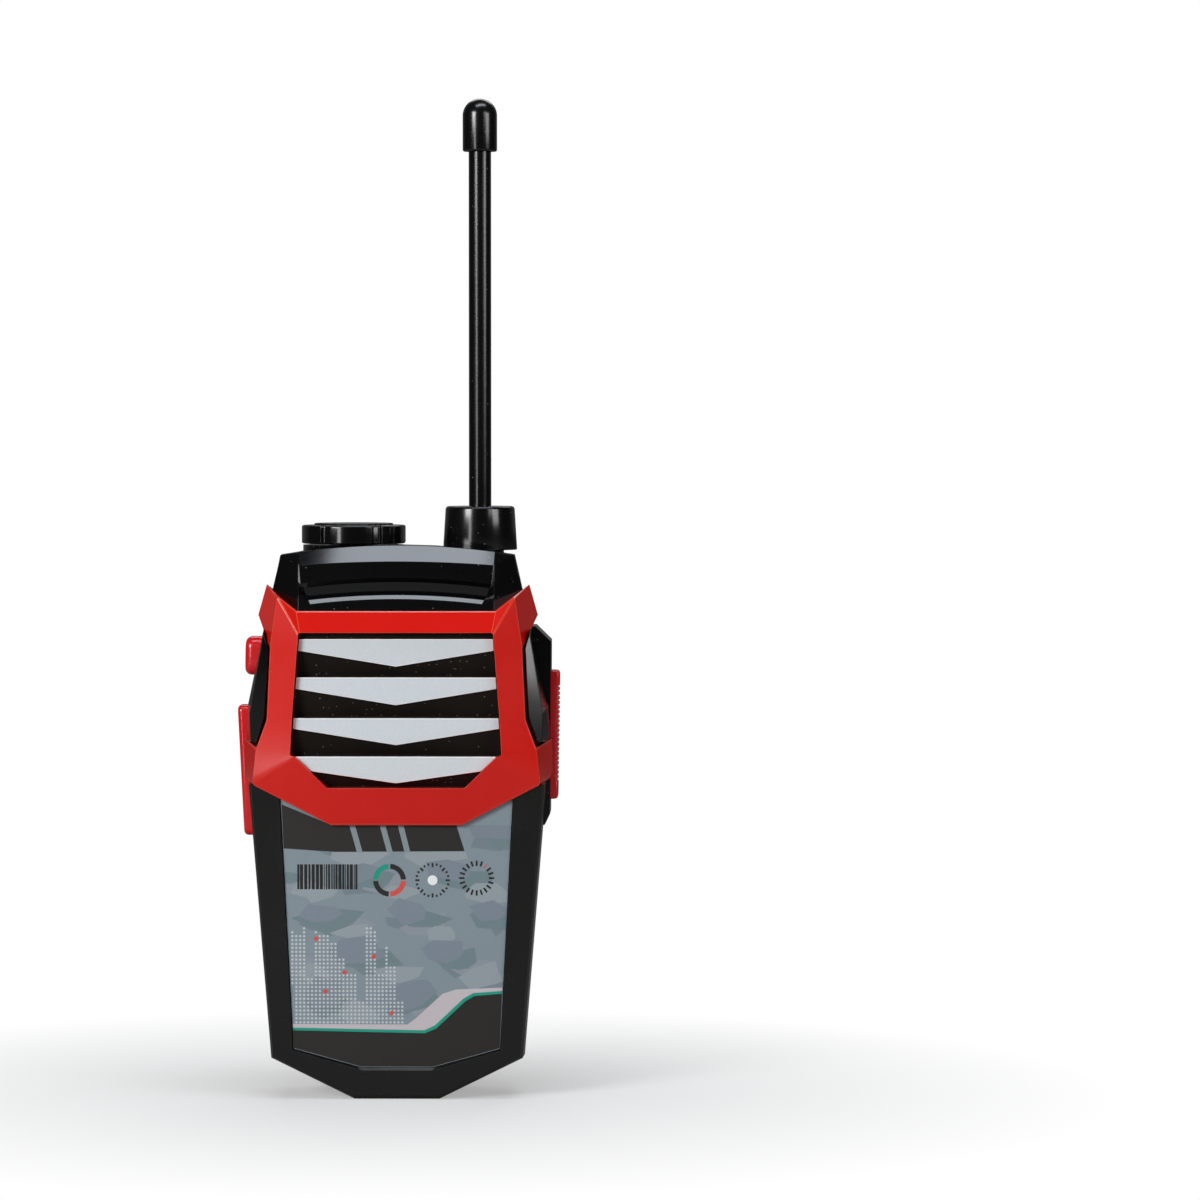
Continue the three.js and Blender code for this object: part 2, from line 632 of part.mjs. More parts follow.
// ---- Battery, its snap and its leads ----
const bat = { hw: 13.2, front: -2.6, back: 14.6, bottom: 11.6, top: 57.4 };
const batteryY = (bat.front + bat.back) / 2;
const stud = (x, r) => turnedUp([[0, 57], [r, 57], [r, 60.1], [0, 60.1]], x, batteryY, 16);
piece(
  "battery",
  join(box(-bat.hw, bat.hw, bat.front, bat.back, bat.bottom, bat.top), stud(-6.4, 2.9), stud(6.4, 3.7)),
  JACKET,
);
piece(
  "battery_snap",
  cut(
    box(-12.6, 12.6, batteryY - 5, batteryY + 5, 57.8, 62.6),
    turnedUp([[0, 50], [3.4, 50], [3.4, 60.6], [0, 60.6]], -6.4, batteryY, 16),
    turnedUp([[0, 50], [4.2, 50], [4.2, 60.6], [0, 60.6]], 6.4, batteryY, 16),
  ),
  WIRE_BLACK,
);
[["red", -1, WIRE_RED], ["black", 1, WIRE_BLACK]].forEach(([name, side, material]) =>
  piece(
    `battery_lead_${name}`,
    wire([[side * 3, 2.4, 63.2], [side * 3, 2.2, 67.5], [side * 4.5, 2.2, 71], [side * 6, 4.4, 75]], 0.5),
    material,
  ),
);

// ---- Battery door ----
piece(
  "battery_door",
  cut(
    join(
      box(-DOOR.hw, DOOR.hw, DOOR.inner, BACK, DOOR.bottom, DOOR.top),
      ...DOOR.tabs.map((x) =>
        box(x - 2, x + 2, DOOR.inner, DOOR.inner + 0.9, DOOR.bottom - 1.5, DOOR.bottom + 1),
      ),
    ),
    rod(1.7, 12, 20, 0, DOOR.screwZ),
    rod(2.9, BACK - 1, 20, 0, DOOR.screwZ),
    ...[0, 1, 2, 3].map((i) => box(-9, 9, BACK - 0.5, 20, 18 + 2.4 * i, 19.2 + 2.4 * i)), // finger grooves
  ),
  BLACK,
);
piece(
  "door_screw",
  turnedBack(
    [[0, 9.3], [1.2, 9.7], [1.2, 16.1], [2.6, 16.1], [2.6, 16.8], [1.9, 17.3], [0, 17.4]],
    0, DOOR.screwZ, 16,
  ),
  STEEL,
);

// ---- Case screws ----
CASE_SCREWS.forEach(([x, z], i) =>
  piece(
    `case_screw_${i + 1}`,
    turnedBack(
      [[0, -11.4], [1.4, -10.6], [1.4, 10.2], [2.8, 10.2], [2.8, 11.3], [1.9, 12], [0, 12]],
      x, z, 16,
    ),
    STEEL,
  ),
);

// ---- Belt clip, its pin and its spring ----
const clipBarrel = [-1, 1].map((side) => {
  const [x0, x1] = between(side, 3.6, 6.7);
  return join(
    crossBar(2.3, x0, x1, CLIP.pinY, CLIP.pinZ, 20),
    box(x0, x1, CLIP.pinY, CLIP.inner + 0.5, CLIP.pinZ - 2.3, CLIP.pinZ + 2.3),
  );
});
const clipHook = prism(mirrored([[10, CLIP.bottom], [CLIP.hw, 81]]), 17.5, CLIP.outer);
piece(
  "belt_clip",
  cut(
    join(
      prism(
        mirrored([[10, CLIP.bottom], [CLIP.hw, 81], [CLIP.hw, 120], [9, CLIP.top]]),
        CLIP.inner, CLIP.outer,
      ),
      clipHook,
      ...clipBarrel,
    ),
    crossBar(1.35, -12, 12, CLIP.pinY, CLIP.pinZ),
    ...[0, 1, 2].map((i) => box(-7, 7, CLIP.outer - 0.5, 26, 115.5 + 2 * i, 116.6 + 2 * i)), // thumb ridges
  ),
  BLACK,
);
piece("clip_pin", crossBar(1.15, -9.8, 9.8, CLIP.pinY, CLIP.pinZ, 14), STEEL);
// A torsion spring: turns round the pin, one leg on the shell and one under the clip.
const coil = { turns: 3, r: 1.75, wire: 0.3, halfLength: 2.2, steps: 8 };
const coilPoints = Array.from({ length: coil.turns * coil.steps + 1 }, (_, i) => {
  const t = i / (coil.turns * coil.steps);
  const a = 2 * Math.PI * coil.turns * t;
  return [
    coil.halfLength * (2 * t - 1), CLIP.pinY - coil.r * Math.sin(a), CLIP.pinZ + coil.r * Math.cos(a),
  ];
});
piece(
  "clip_spring",
  wire(
    [
      [-coil.halfLength, 22, 118], [-coil.halfLength, 21.4, 115.5], ...coilPoints,
      [coil.halfLength, 18.8, 115.5], [coil.halfLength, 17.5, 118],
    ],
    coil.wire, 44, 5,
  ),
  STEEL,
);

export default handset;
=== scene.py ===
# %% [markdown]
# # A toy walkie talkie
# This lesson dresses a finished mechanical model of a child's walkie talkie. The mechanical model gives
# every part its place, size and motion. Here each part that shows gets the shape and finish that a
# moulded toy has: rounded edges, facets that catch the light, grained vanes and a printed label.

# %% Load the mechanical model
import json
import math

import bmesh
import bpy
import numpy as np
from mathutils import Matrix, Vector


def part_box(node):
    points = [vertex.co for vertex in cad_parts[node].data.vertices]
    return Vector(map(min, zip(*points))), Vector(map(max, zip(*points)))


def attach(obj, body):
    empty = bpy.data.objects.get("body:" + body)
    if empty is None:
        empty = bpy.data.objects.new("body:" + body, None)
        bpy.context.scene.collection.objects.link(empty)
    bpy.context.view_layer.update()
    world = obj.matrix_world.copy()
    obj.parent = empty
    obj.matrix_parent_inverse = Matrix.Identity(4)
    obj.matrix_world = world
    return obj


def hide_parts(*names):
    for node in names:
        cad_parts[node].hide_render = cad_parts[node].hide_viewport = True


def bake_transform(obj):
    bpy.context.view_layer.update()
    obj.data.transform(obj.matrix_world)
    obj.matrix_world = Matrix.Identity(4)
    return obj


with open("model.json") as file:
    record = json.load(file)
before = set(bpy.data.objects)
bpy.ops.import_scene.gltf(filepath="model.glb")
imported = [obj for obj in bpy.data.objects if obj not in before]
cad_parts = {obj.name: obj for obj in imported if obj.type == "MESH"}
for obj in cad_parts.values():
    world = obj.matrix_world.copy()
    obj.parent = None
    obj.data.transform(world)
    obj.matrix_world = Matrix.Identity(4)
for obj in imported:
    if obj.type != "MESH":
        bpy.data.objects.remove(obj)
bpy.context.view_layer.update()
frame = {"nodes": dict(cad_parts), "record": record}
nodes = frame["nodes"]

# %% [markdown]
# ## Working in millimetres
# A handset is drawn in millimetres and Blender works in metres, so one constant turns one into the
# other. Positions that the mechanical model already holds are read from its boxes.

# %% Units and boxes
MM = 0.001


def box_mm(name):
    """The lowest and highest corner of a CAD node, in millimetres, as two arrays."""
    low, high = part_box(name)
    return np.array(low) / MM, np.array(high) / MM


def middle(name):
    """The centre of a CAD node's box, in millimetres."""
    low, high = box_mm(name)
    return (low + high) / 2


case_low, case_high = box_mm("front_case")
rear_high = box_mm("rear_case")[1]
print("shell:", np.round(case_low, 1), np.round(rear_high, 1))

# %% [markdown]
# ## The studio
# A toy is shown on white under large soft boxes. The camera is far away with a long lens, so that
# the handset isn't distorted, and it stands a little to the right and a little above. The handset is
# the left one of a set of two, so the view leaves room on the right.

# %% Camera
VIEW = {"aim": (47.5, -16.0, 116.8), "azimuth": 0.65, "elevation": 2.0, "distance": 1200.0, "width": 279.2}
turn, rise = math.radians(VIEW["azimuth"]), math.radians(VIEW["elevation"])
back = Vector((math.sin(turn) * math.cos(rise), -math.cos(turn) * math.cos(rise), math.sin(rise)))
camera_data = bpy.data.cameras.new("camera")
camera_data.sensor_width = 36.0
camera_data.lens = camera_data.sensor_width * VIEW["distance"] / VIEW["width"]
camera_data.clip_end = 10.0
camera = bpy.data.objects.new("camera", camera_data)
camera.location = (Vector(VIEW["aim"]) + back * VIEW["distance"]) * MM
camera.rotation_euler = (-back).to_track_quat("-Z", "Y").to_euler()
bpy.context.scene.collection.objects.link(camera)
bpy.context.scene.camera = camera
bpy.context.scene.view_settings.view_transform = "Standard"
print("lens:", round(camera_data.lens, 1), "mm")

# %% [markdown]
# Colours are written as the hex codes that a paint or print shop would give. A shader works with
# linear light, so one function turns a code into linear numbers.


# %% Colour and node helpers
def linear(code):
    """An sRGB hex code as four linear numbers: each channel is undone by the sRGB curve."""
    srgb = np.array([int(code[i : i + 2], 16) for i in (1, 3, 5)]) / 255
    low, high = srgb / 12.92, ((srgb + 0.055) / 1.055) ** 2.4
    return (*np.where(srgb <= 0.04045, low, high).tolist(), 1.0)


def add_node(tree, kind, inputs=None, **settings):
    """Adds a node. inputs gives sockets a value or another node's output, settings its own properties."""
    made = tree.nodes.new(kind)
    for name, value in settings.items():
        setattr(made, name, value)
    for name, value in (inputs or {}).items():
        if isinstance(value, bpy.types.NodeSocket):
            tree.links.new(value, made.inputs[name])
        else:
            made.inputs[name].default_value = value
    return made


def new_material(name):
    """An empty node material: returns it, its tree, its Principled shader and its object coordinates."""
    material = bpy.data.materials.new(name)
    material.use_nodes = True
    tree = material.node_tree
    shader = tree.nodes["Principled BSDF"]
    place = add_node(tree, "ShaderNodeTexCoord").outputs["Object"]
    return material, tree, shader, place


# %% Floor, lights and surroundings
def soft_box(name, azimuth, elevation, distance, size, power, tint="#FFFFFF"):
    """A rectangular area light that looks at the middle of the handset. Its direction is in degrees:
    azimuth to the right of the handset's front, elevation above the floor. Size is width and height."""
    turn, rise = math.radians(azimuth), math.radians(elevation)
    away = Vector((math.sin(turn) * math.cos(rise), -math.cos(turn) * math.cos(rise), math.sin(rise)))
    data = bpy.data.lights.new(name, "AREA")
    data.shape = "RECTANGLE"
    data.size, data.size_y = size
    data.energy = power
    data.color = linear(tint)[:3]
    light = bpy.data.objects.new(name, data)
    light.location = Vector((0.0, 0.0, 0.1)) + away * distance
    light.rotation_euler = (-away).to_track_quat("-Z", "Y").to_euler()
    bpy.context.scene.collection.objects.link(light)


soft_box("key_box_left", -38, 20, 1.0, (0.34, 0.34), 6.9)
soft_box("key_box_right", 40, 20, 1.0, (0.3, 0.3), 1.0)
soft_box("overhead_box", 20, 77, 0.77, (0.6, 0.17), 2.35, "#ECF4FF")
soft_box("side_box_right", 55, 14, 0.9, (0.3, 0.26), 1.5)
soft_box("strip_left", -30, -3, 0.9, (0.1, 0.4), 1.0)
soft_box("back_box", 175, 40, 1.1, (0.8, 0.4), 2.5)

world = bpy.data.worlds.new("studio")
world.use_nodes = True
bpy.context.scene.world = world
sky = world.node_tree
way = add_node(sky, "ShaderNodeTexCoord").outputs["Generated"]
depth = add_node(sky, "ShaderNodeSeparateXYZ", {"Vector": way}).outputs["Y"]
behind = add_node(
    sky,
    "ShaderNodeMapRange",
    {"Value": depth, "From Min": 0.3, "From Max": 0.9, "To Min": 0.03, "To Max": 0.14},
    interpolation_type="SMOOTHSTEP",
)
rays = add_node(sky, "ShaderNodeLightPath")
level = add_node(
    sky,
    "ShaderNodeMix",
    {0: rays.outputs["Is Camera Ray"], 2: behind.outputs["Result"], 3: 1.0},
    data_type="FLOAT",
)
sky.links.new(level.outputs[0], sky.nodes["Background"].inputs["Strength"])
sky.nodes["Background"].inputs["Color"].default_value = linear("#FFFFFF")

floor_mesh = bpy.data.meshes.new("floor")
corner = np.array([[-1, -1], [1, -1], [1, 1], [-1, 1]]) * 3.0
floor_mesh.from_pydata(np.column_stack([corner, np.zeros(4)]).tolist(), [], [[0, 1, 2, 3]])
floor = bpy.data.objects.new("floor", floor_mesh)
bpy.context.scene.collection.objects.link(floor)
paper, tree, shader, place = new_material("paper_sweep")
rays = add_node(tree, "ShaderNodeLightPath").outputs["Is Camera Ray"]
tone = add_node(
    tree, "ShaderNodeMix", {0: rays, 6: linear("#8A8A89"), 7: linear("#E4E4E3")}, data_type="RGBA"
)
tree.links.new(tone.outputs[2], shader.inputs["Base Color"])
shader.inputs["Roughness"].default_value = 0.8
away = add_node(tree, "ShaderNodeVectorMath", {0: place}, operation="LENGTH")
fade = add_node(
    tree,
    "ShaderNodeMapRange",
    {"Value": away.outputs["Value"], "From Min": 0.03, "From Max": 0.17, "To Min": 0.35, "To Max": 1.0},
)
seen = add_node(tree, "ShaderNodeMath", {0: fade.outputs[0], 1: rays}, operation="MULTIPLY")
glow = add_node(tree, "ShaderNodeEmission", {"Color": linear("#FFFFFF"), "Strength": 1.0})
blend = add_node(
    tree, "ShaderNodeMixShader", {0: seen.outputs[0], 1: shader.outputs[0], 2: glow.outputs[0]}
)
tree.links.new(blend.outputs[0], tree.nodes["Material Output"].inputs["Surface"])
floor_mesh.materials.append(paper)

# %% [markdown]
# ## Moulded plastics
# The shell, the bezel and the keys are ABS, moulded in steel tools. A polished tool gives a glossy
# skin with a faint waviness, and an etched one gives a fine grain. Both are the same recipe: a colour
# that drifts a little, a roughness that drifts a little, and a bump whose size is a real distance.
# Handled black plastic also carries a few specks of dust, which is what makes it look real.


# %% Moulded plastic
SPECK_SHARE = 0.28  # the share of cells that hold a grain of dust


def moulded(name, colours, roughness, grain_mm, grain_depth_mm, specks=0.0, speck_mm=1.6):
    """ABS. Noise of 30 mm drifts between the two colours and the two roughnesses, noise of grain_mm
    gives the bump, and cells of speck_mm hold one grain of dust each, of radius specks x speck_mm."""
    material, tree, shader, place = new_material(name)
    drift = add_node(
        tree, "ShaderNodeTexNoise", {"Vector": place, "Scale": 1 / (30 * MM), "Detail": 3.0}
    )
    colour = add_node(
        tree,
        "ShaderNodeMix",
        {0: drift.outputs["Fac"], 6: linear(colours[0]), 7: linear(colours[1])},
        data_type="RGBA",
    ).outputs[2]
    rough = add_node(
        tree,
        "ShaderNodeMapRange",
        {"Value": drift.outputs["Fac"], 1: 0.3, 2: 0.7, 3: roughness[0], 4: roughness[1]},
    ).outputs[0]
    if specks:
        cell = add_node(tree, "ShaderNodeTexVoronoi", {"Vector": place, "Scale": 1 / (speck_mm * MM)})
        grain = add_node(
            tree, "ShaderNodeMath", {0: cell.outputs["Distance"], 1: specks}, operation="LESS_THAN"
        ).outputs[0]
        lucky = add_node(
            tree, "ShaderNodeMath", {0: cell.outputs["Color"], 1: 1 - SPECK_SHARE}, operation="GREATER_THAN"
        ).outputs[0]
        dust = add_node(tree, "ShaderNodeMath", {0: grain, 1: lucky}, operation="MULTIPLY").outputs[0]
        colour = add_node(
            tree, "ShaderNodeMix", {0: dust, 6: colour, 7: linear("#8D8B86")}, data_type="RGBA"
        ).outputs[2]
    tree.links.new(colour, shader.inputs["Base Color"])
    tree.links.new(rough, shader.inputs["Roughness"])
    fine = add_node(
        tree, "ShaderNodeTexNoise", {"Vector": place, "Scale": 1 / (grain_mm * MM), "Detail": 2.0}
    )
    bump = add_node(
        tree,
        "ShaderNodeBump",
        {"Height": fine.outputs["Fac"], "Distance": grain_depth_mm * MM, "Strength": 1.0},
    )
    tree.links.new(bump.outputs["Normal"], shader.inputs["Normal"])
    shader.inputs["IOR"].default_value = 1.54
    return material


# Black ABS from a polished tool: deep and nearly mirror-like, with a slow waviness and a little dust.
gloss_black = moulded("gloss_black_abs", ("#070708", "#0A0A0B"), (0.1, 0.16), 2.5, 0.0015, 0.06)
# Black ABS from a blasted tool: it spreads a light into a soft grey sheen, as the label's frame does.
satin_black = moulded("satin_black_abs", ("#0E0D0C", "#121110"), (0.22, 0.3), 0.35, 0.003, 0.06)
# Black ABS from an etched tool: brownish and dull, with almost no highlight. The real grain is about
# 0.08 mm, too fine to show, so it is drawn at 0.28 mm.
grained_black = moulded("grained_black_abs", ("#120E0B", "#201A16"), (0.5, 0.62), 0.28, 0.04, 0.14, 0.8)
grained_black.node_tree.nodes["Principled BSDF"].inputs["Specular IOR Level"].default_value = 0.12
# Red ABS: a strong, slightly orange colour under a soft gloss.
gloss_red = moulded("gloss_red_abs", ("#CE130B", "#D51D12"), (0.16, 0.22), 0.6, 0.003, 0.05)
# Painted highlight: the bevels get this paler red, a thin light line along each edge that stands in
# for the light that the edges catch, stronger in some places.
red_edge_highlight = moulded("red_abs_painted_edge_highlight", ("#D5301C", "#E9644A"), (0.2, 0.3), 0.6, 0.003)
# Red ABS of another batch: the keys are a cooler red than the bezel.
key_red = moulded("key_red_abs", ("#CE151B", "#D81C22"), (0.16, 0.24), 2.0, 0.002)
# Soft PVC, dipped or moulded: long soft highlights, and dust that clings to it.
soft_black = moulded("soft_black_pvc", ("#070708", "#0A0A0B"), (0.16, 0.26), 3.0, 0.01, 0.07)
print("plastics:", [m.name for m in bpy.data.materials if "abs" in m.name])

# %% [markdown]
# ## Metals, print and small parts
# The vanes carry a pale foil with a fine grain. The label is printed paper under a clear film. The
# metal parts inside are plated or turned, and a metal keeps the default index of refraction.


# %% Foil, metals, board and leads
def grained(name, colours, metallic, roughness, grain_mm, bump_mm=0.0, clear_coat=0.0):
    """A fine two-tone grain: noise of grain_mm picks between two colours, and may raise the surface."""
    material, tree, shader, place = new_material(name)
    noise = add_node(
        tree, "ShaderNodeTexNoise", {"Vector": place, "Scale": 1 / (grain_mm * MM), "Detail": 4.0}
    )
    colour = add_node(
        tree,
        "ShaderNodeMix",
        {0: noise.outputs["Fac"], 6: linear(colours[0]), 7: linear(colours[1])},
        data_type="RGBA",
    )
    tree.links.new(colour.outputs[2], shader.inputs["Base Color"])
    if bump_mm:
        bump = add_node(
            tree,
            "ShaderNodeBump",
            {"Height": noise.outputs["Fac"], "Distance": bump_mm * MM, "Strength": 1.0},
        )
        tree.links.new(bump.outputs["Normal"], shader.inputs["Normal"])
    shader.inputs["Metallic"].default_value = metallic
    shader.inputs["Roughness"].default_value = roughness
    shader.inputs["Coat Weight"].default_value = clear_coat
    return material


# Hot-stamped silver foil: pale and cool, matt enough to look the same from each side.
foil = grained("silver_foil", ("#C8CFD4", "#DAE0E4"), 0.15, 0.5, 0.3, 0.003)
# The foil's cut edge shows its white carrier. This near-white bevel also paints in the highlight
# that the rounded edge catches, as a bright thin line round each vane.
foil_edge_with_highlight = grained("foil_cut_edge_painted_highlight", ("#F2F4F5", "#FFFFFF"), 0.0, 0.5, 0.3)
# Zinc-plated steel: a bright grey metal with slightly blurred reflections.
zinc = grained("zinc_plated_steel", ("#B9BCBF", "#CACCCE"), 1.0, 0.28, 0.4, 0.004)
# Turned brass: a warm yellow metal with fine tool marks.
brass = grained("turned_brass", ("#B98F45", "#C9A458"), 1.0, 0.3, 0.3, 0.002)
# Sintered ferrite: dark grey, dull and gritty.
ferrite = grained("ferrite_magnet", ("#2B2B2D", "#3A3A3D"), 0.2, 0.6, 0.4, 0.02)
# Pressed paper: brown-black and fibrous, with no gloss.
cone_paper = grained("pressed_cone_paper", ("#1C1916", "#2A2622"), 0.0, 0.85, 0.5, 0.05)
# Woven dust cloth: black without any shine. Its 0.1 mm threads are drawn as a 0.5 mm mottle.
cloth = grained("black_dust_cloth", ("#0A0A0A", "#161616"), 0.0, 0.95, 0.5, 0.1)
# Lacquered glass-fibre board: green under a thin clear gloss.
solder_mask = grained("green_solder_mask", ("#14512A", "#1B6335"), 0.0, 0.35, 1.2, 0.003, 0.4)
# Moulded epoxy and nylon: a matt grey-black, as on chips and switches.
chip_black = grained("moulded_epoxy", ("#141415", "#1D1D1F"), 0.0, 0.55, 0.2, 0.01)
# Printed foil jacket: dark blue with a metallic glint under a clear film.
jacket = grained("battery_jacket", ("#15325C", "#1D3E6D"), 0.3, 0.32, 2.0, 0.002, 0.5)
# PVC-coated lead wire: plain and slightly glossy, in red and in black.
lead_red = grained("red_pvc_lead", ("#9C1010", "#B01616"), 0.0, 0.4, 1.0)
lead_black = grained("black_pvc_lead", ("#0A0A0A", "#121212"), 0.0, 0.4, 1.0)
FINISHES = {
    "black_abs": gloss_black,
    "red_abs": key_red,
    "silver_facing": foil,
    "label_print": foil,
    "soft_black": soft_black,
    "grille_cloth": cloth,
    "steel": zinc,
    "brass": brass,
    "magnet": ferrite,
    "cone_paper": cone_paper,
    "board": solder_mask,
    "black_plastic": chip_black,
    "battery_jacket": jacket,
    "red_lead": lead_red,
    "black_lead": lead_black,
}
for row in frame["record"]["subparts"]:
    kept = nodes[row["node"]]
    kept.data.materials.clear()
    kept.data.materials.append(FINISHES[row["material_slot"]])

# %% [markdown]
# ## Surfaces from rings
# Nearly every part here is a loft: rings with the same number of points, joined ring to ring. Worked
# out as arrays, a ring is one line of numpy. Sharp moulded edges don't exist, so a small bevel
# rounds each edge between facets afterwards, and that thin line is what catches the light.


# %% Surface helpers
def outward(mesh):
    """Turns the faces of a closed mesh so that they all point out."""
    work = bmesh.new()
    work.from_mesh(mesh)
    bmesh.ops.recalc_face_normals(work, faces=work.faces)
    work.to_mesh(mesh)
    work.free()


def make_piece(name, points_mm, faces, materials):
    """A new object from points in millimetres. It sits at the origin, with its place in its mesh."""
    mesh = bpy.data.meshes.new(name)
    mesh.from_pydata((np.asarray(points_mm, float) * MM).tolist(), [], faces)
    outward(mesh)
    for material in materials if isinstance(materials, (list, tuple)) else [materials]:
        mesh.materials.append(material)
    piece = bpy.data.objects.new(name, mesh)
    bpy.context.scene.collection.objects.link(piece)
    return piece


def loft(name, rings, materials, caps=True, wrap=False):
    """rings is (levels, stations, 3): point i of a level joins to point i of the next, with quads.
    The first and last levels are capped, or joined to each other where wrap is true."""
    rings = np.asarray(rings, float)
    levels, stations = rings.shape[:2]
    i = np.arange(stations)
    level = np.arange(levels if wrap else levels - 1)[:, None]
    here, above = level * stations, (level + 1) % levels * stations
    after = (i + 1) % stations
    faces = np.stack([here + i, here + after, above + after, above + i], -1).reshape(-1, 4).tolist()
    if caps and not wrap:
        faces += [i.tolist(), (i + (levels - 1) * stations).tolist()]
    return make_piece(name, rings.reshape(-1, 3), faces, materials)


def rounded(piece, width_mm, angle=18, segments=3):
    """Rounds each edge that turns by more than angle, by width_mm, and keeps the facets flat."""
    piece.data.polygons.foreach_set("use_smooth", np.ones(len(piece.data.polygons), bool))
    bevel = piece.modifiers.new("rounded_edges", "BEVEL")
    bevel.width = width_mm * MM
    bevel.segments = segments
    bevel.limit_method = "ANGLE"
    bevel.angle_limit = math.radians(angle)
    bevel.harden_normals = True
    return piece


def smooth(piece, angle=30):
    """Smooth shading, split at the edges that turn by more than angle."""
    piece.data.polygons.foreach_set("use_smooth", np.ones(len(piece.data.polygons), bool))
    piece.data.set_sharp_from_angle(angle=math.radians(angle))
    return piece


def fasten(piece, body, slot, *replaced):
    """The piece rides on a body and stands for the CAD nodes that it replaces, which are hidden. slot is
    not used.
    """
    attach(piece, body)
    if replaced:
        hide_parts(*replaced)
    print(f"{piece.name}: {len(piece.data.vertices)} points on {body}")
    return piece


def mirrored(half):
    """A closed outline (n, columns) from its right half, listed from the bottom up."""
    half = np.asarray(half, float)
    other = half[half[:, 0] > 0][::-1] * np.array([-1.0] + [1.0] * (half.shape[1] - 1))
    return np.vstack([half, other])


def inset(outline, distance):
    """Each edge of a closed (x, z) outline moves in by distance, and neighbours meet again where their
    moved lines cross. distance may be one number for each edge."""
    edge = np.roll(outline, -1, 0) - outline
    normal = np.stack([edge[:, 1], -edge[:, 0]], 1) / np.linalg.norm(edge, axis=1)[:, None]
    reach = (normal * outline).sum(1) - distance
    before, reach_before = np.roll(normal, 1, 0), np.roll(reach, 1)
    det = before[:, 0] * normal[:, 1] - before[:, 1] * normal[:, 0]
    flat = np.abs(det) < 1e-6
    safe = np.where(flat, 1.0, det)
    x = (reach_before * normal[:, 1] - reach * before[:, 1]) / safe
    z = (before[:, 0] * reach - normal[:, 0] * reach_before) / safe
    straight = outline - normal * np.broadcast_to(distance, len(outline))[:, None]
    return np.where(flat[:, None], straight, np.stack([x, z], 1))


def at_depth(outline, y):
    """An (x, z) outline as (x, y, z) points at the depth y, which may differ from point to point."""
    return np.stack([outline[:, 0], np.broadcast_to(y, len(outline)), outline[:, 1]], 1)


# %% [markdown]
# ## Front shell
# The front shell is a shallow tray with a chamfered rim. Its rim frames the label, which lies in a
# recess. Above the label the tray steps back, because the bezel clips over it there. It is one loft
# from the parting line over the rim, down into the recess, and back round the inside.

# %% Front shell
PARTING_Y = case_high[1]
FACE_Y, RECESS_Y, STEP_Y = -15.5, -14.7, -11.4
CASE_HALF = [
    (10.6, 0), (29.7, 9.4), (34.87, 73.7), (34.93, 74.5), (35.6, 84), (35.2, 92),
    (27.4, 127.2), (18, 128.5), (9, 129.25), (0, 129.5),
]
RECESS_HALF = [
    (8.1, 6.8), (24.3, 11.4), (27.35, 70.8), (27.4, 71.8), (27.5, 79), (27, 80),
    (20, 81), (14, 81), (7, 81), (0, 81),
]
case_outline, recess_outline = mirrored(CASE_HALF), mirrored(RECESS_HALF)
low_part = case_outline[:, 1] < 74
edge_moves = np.ones(len(case_outline))
edge_moves[-1] = 0.0  # the last edge closes the outline along the foot, which stays on the floor
lip = np.full(len(recess_outline), 0.1)
lip[[0, -2, -1]] = 0.3, 0.3, 0.7  # under the label the wall of the recess is a slope that catches light
shell_rings = [
    at_depth(inset(case_outline, 3.2), -12.3),
    at_depth(inset(case_outline, 2.2), PARTING_Y),
    at_depth(case_outline, PARTING_Y),
    at_depth(
        np.where(low_part[:, None], inset(case_outline, 0.3 * edge_moves), inset(case_outline, 1.0)),
        np.where(low_part, -14.2, -8.6),
    ),
    at_depth(
        np.where(low_part[:, None], inset(case_outline, 0.9), inset(case_outline, 2.2)),
        np.where(low_part, FACE_Y, STEP_Y),
    ),
    at_depth(recess_outline, np.where(low_part, FACE_Y, STEP_Y)),
    at_depth(inset(recess_outline, lip), np.where(low_part, RECESS_Y, STEP_Y + 0.1)),
]
front_shell = rounded(loft("front_shell", shell_rings, satin_black), 0.35)
fasten(front_shell, "handset", "black_abs", "front_case")

# %% [markdown]
# ## Side pads
# Between the claws of the bezel the shell shows through as a gem-like pad on each side. Its ridge
# runs down it, with a broad inner facet, an outer facet that falls back to the parting line, and a
# lower facet that turns down.

# %% Side pads
PAD_BASE = [(35.72, 83.1), (35.36, 92.0), (31.32, 111.2), (29.0, 106.5), (29.6, 89.0), (32.0, 82.0)]
PAD_TOP = [
    (34.0, -15.0, 83.8), (34.25, -15.6, 90.4), (31.1, -14.95, 109.2),
    (29.85, -14.6, 105.2), (30.75, -14.7, 89.6), (32.75, -14.3, 83.1),
]
for side, name in ((1, "side_pad_right"), (-1, "side_pad_left")):
    base = at_depth(np.array(PAD_BASE), PARTING_Y - 0.1)
    corners = np.vstack([base, PAD_TOP]) * np.array([side, 1, 1])
    walls = [[i, (i + 1) % 6, 6 + (i + 1) % 6, 6 + i] for i in range(6)]
    facets = [[7, 8, 9, 10], [6, 7, 10, 11], [0, 1, 2, 3, 4, 5]]
    pad = rounded(make_piece(name, corners, walls + facets, gloss_black), 0.22, 8)
    fasten(pad, "handset", "black_abs", "front_case")

# %% [markdown]
# ## Brow
# The brow is the visor over the grille. Its profile, seen from the side, runs from the top of the
# shell down a broad chamfer, over a face, into a finger groove and over a rib. That profile is
# carried across the handset along an arc, so each line of it sags a little towards the sides.

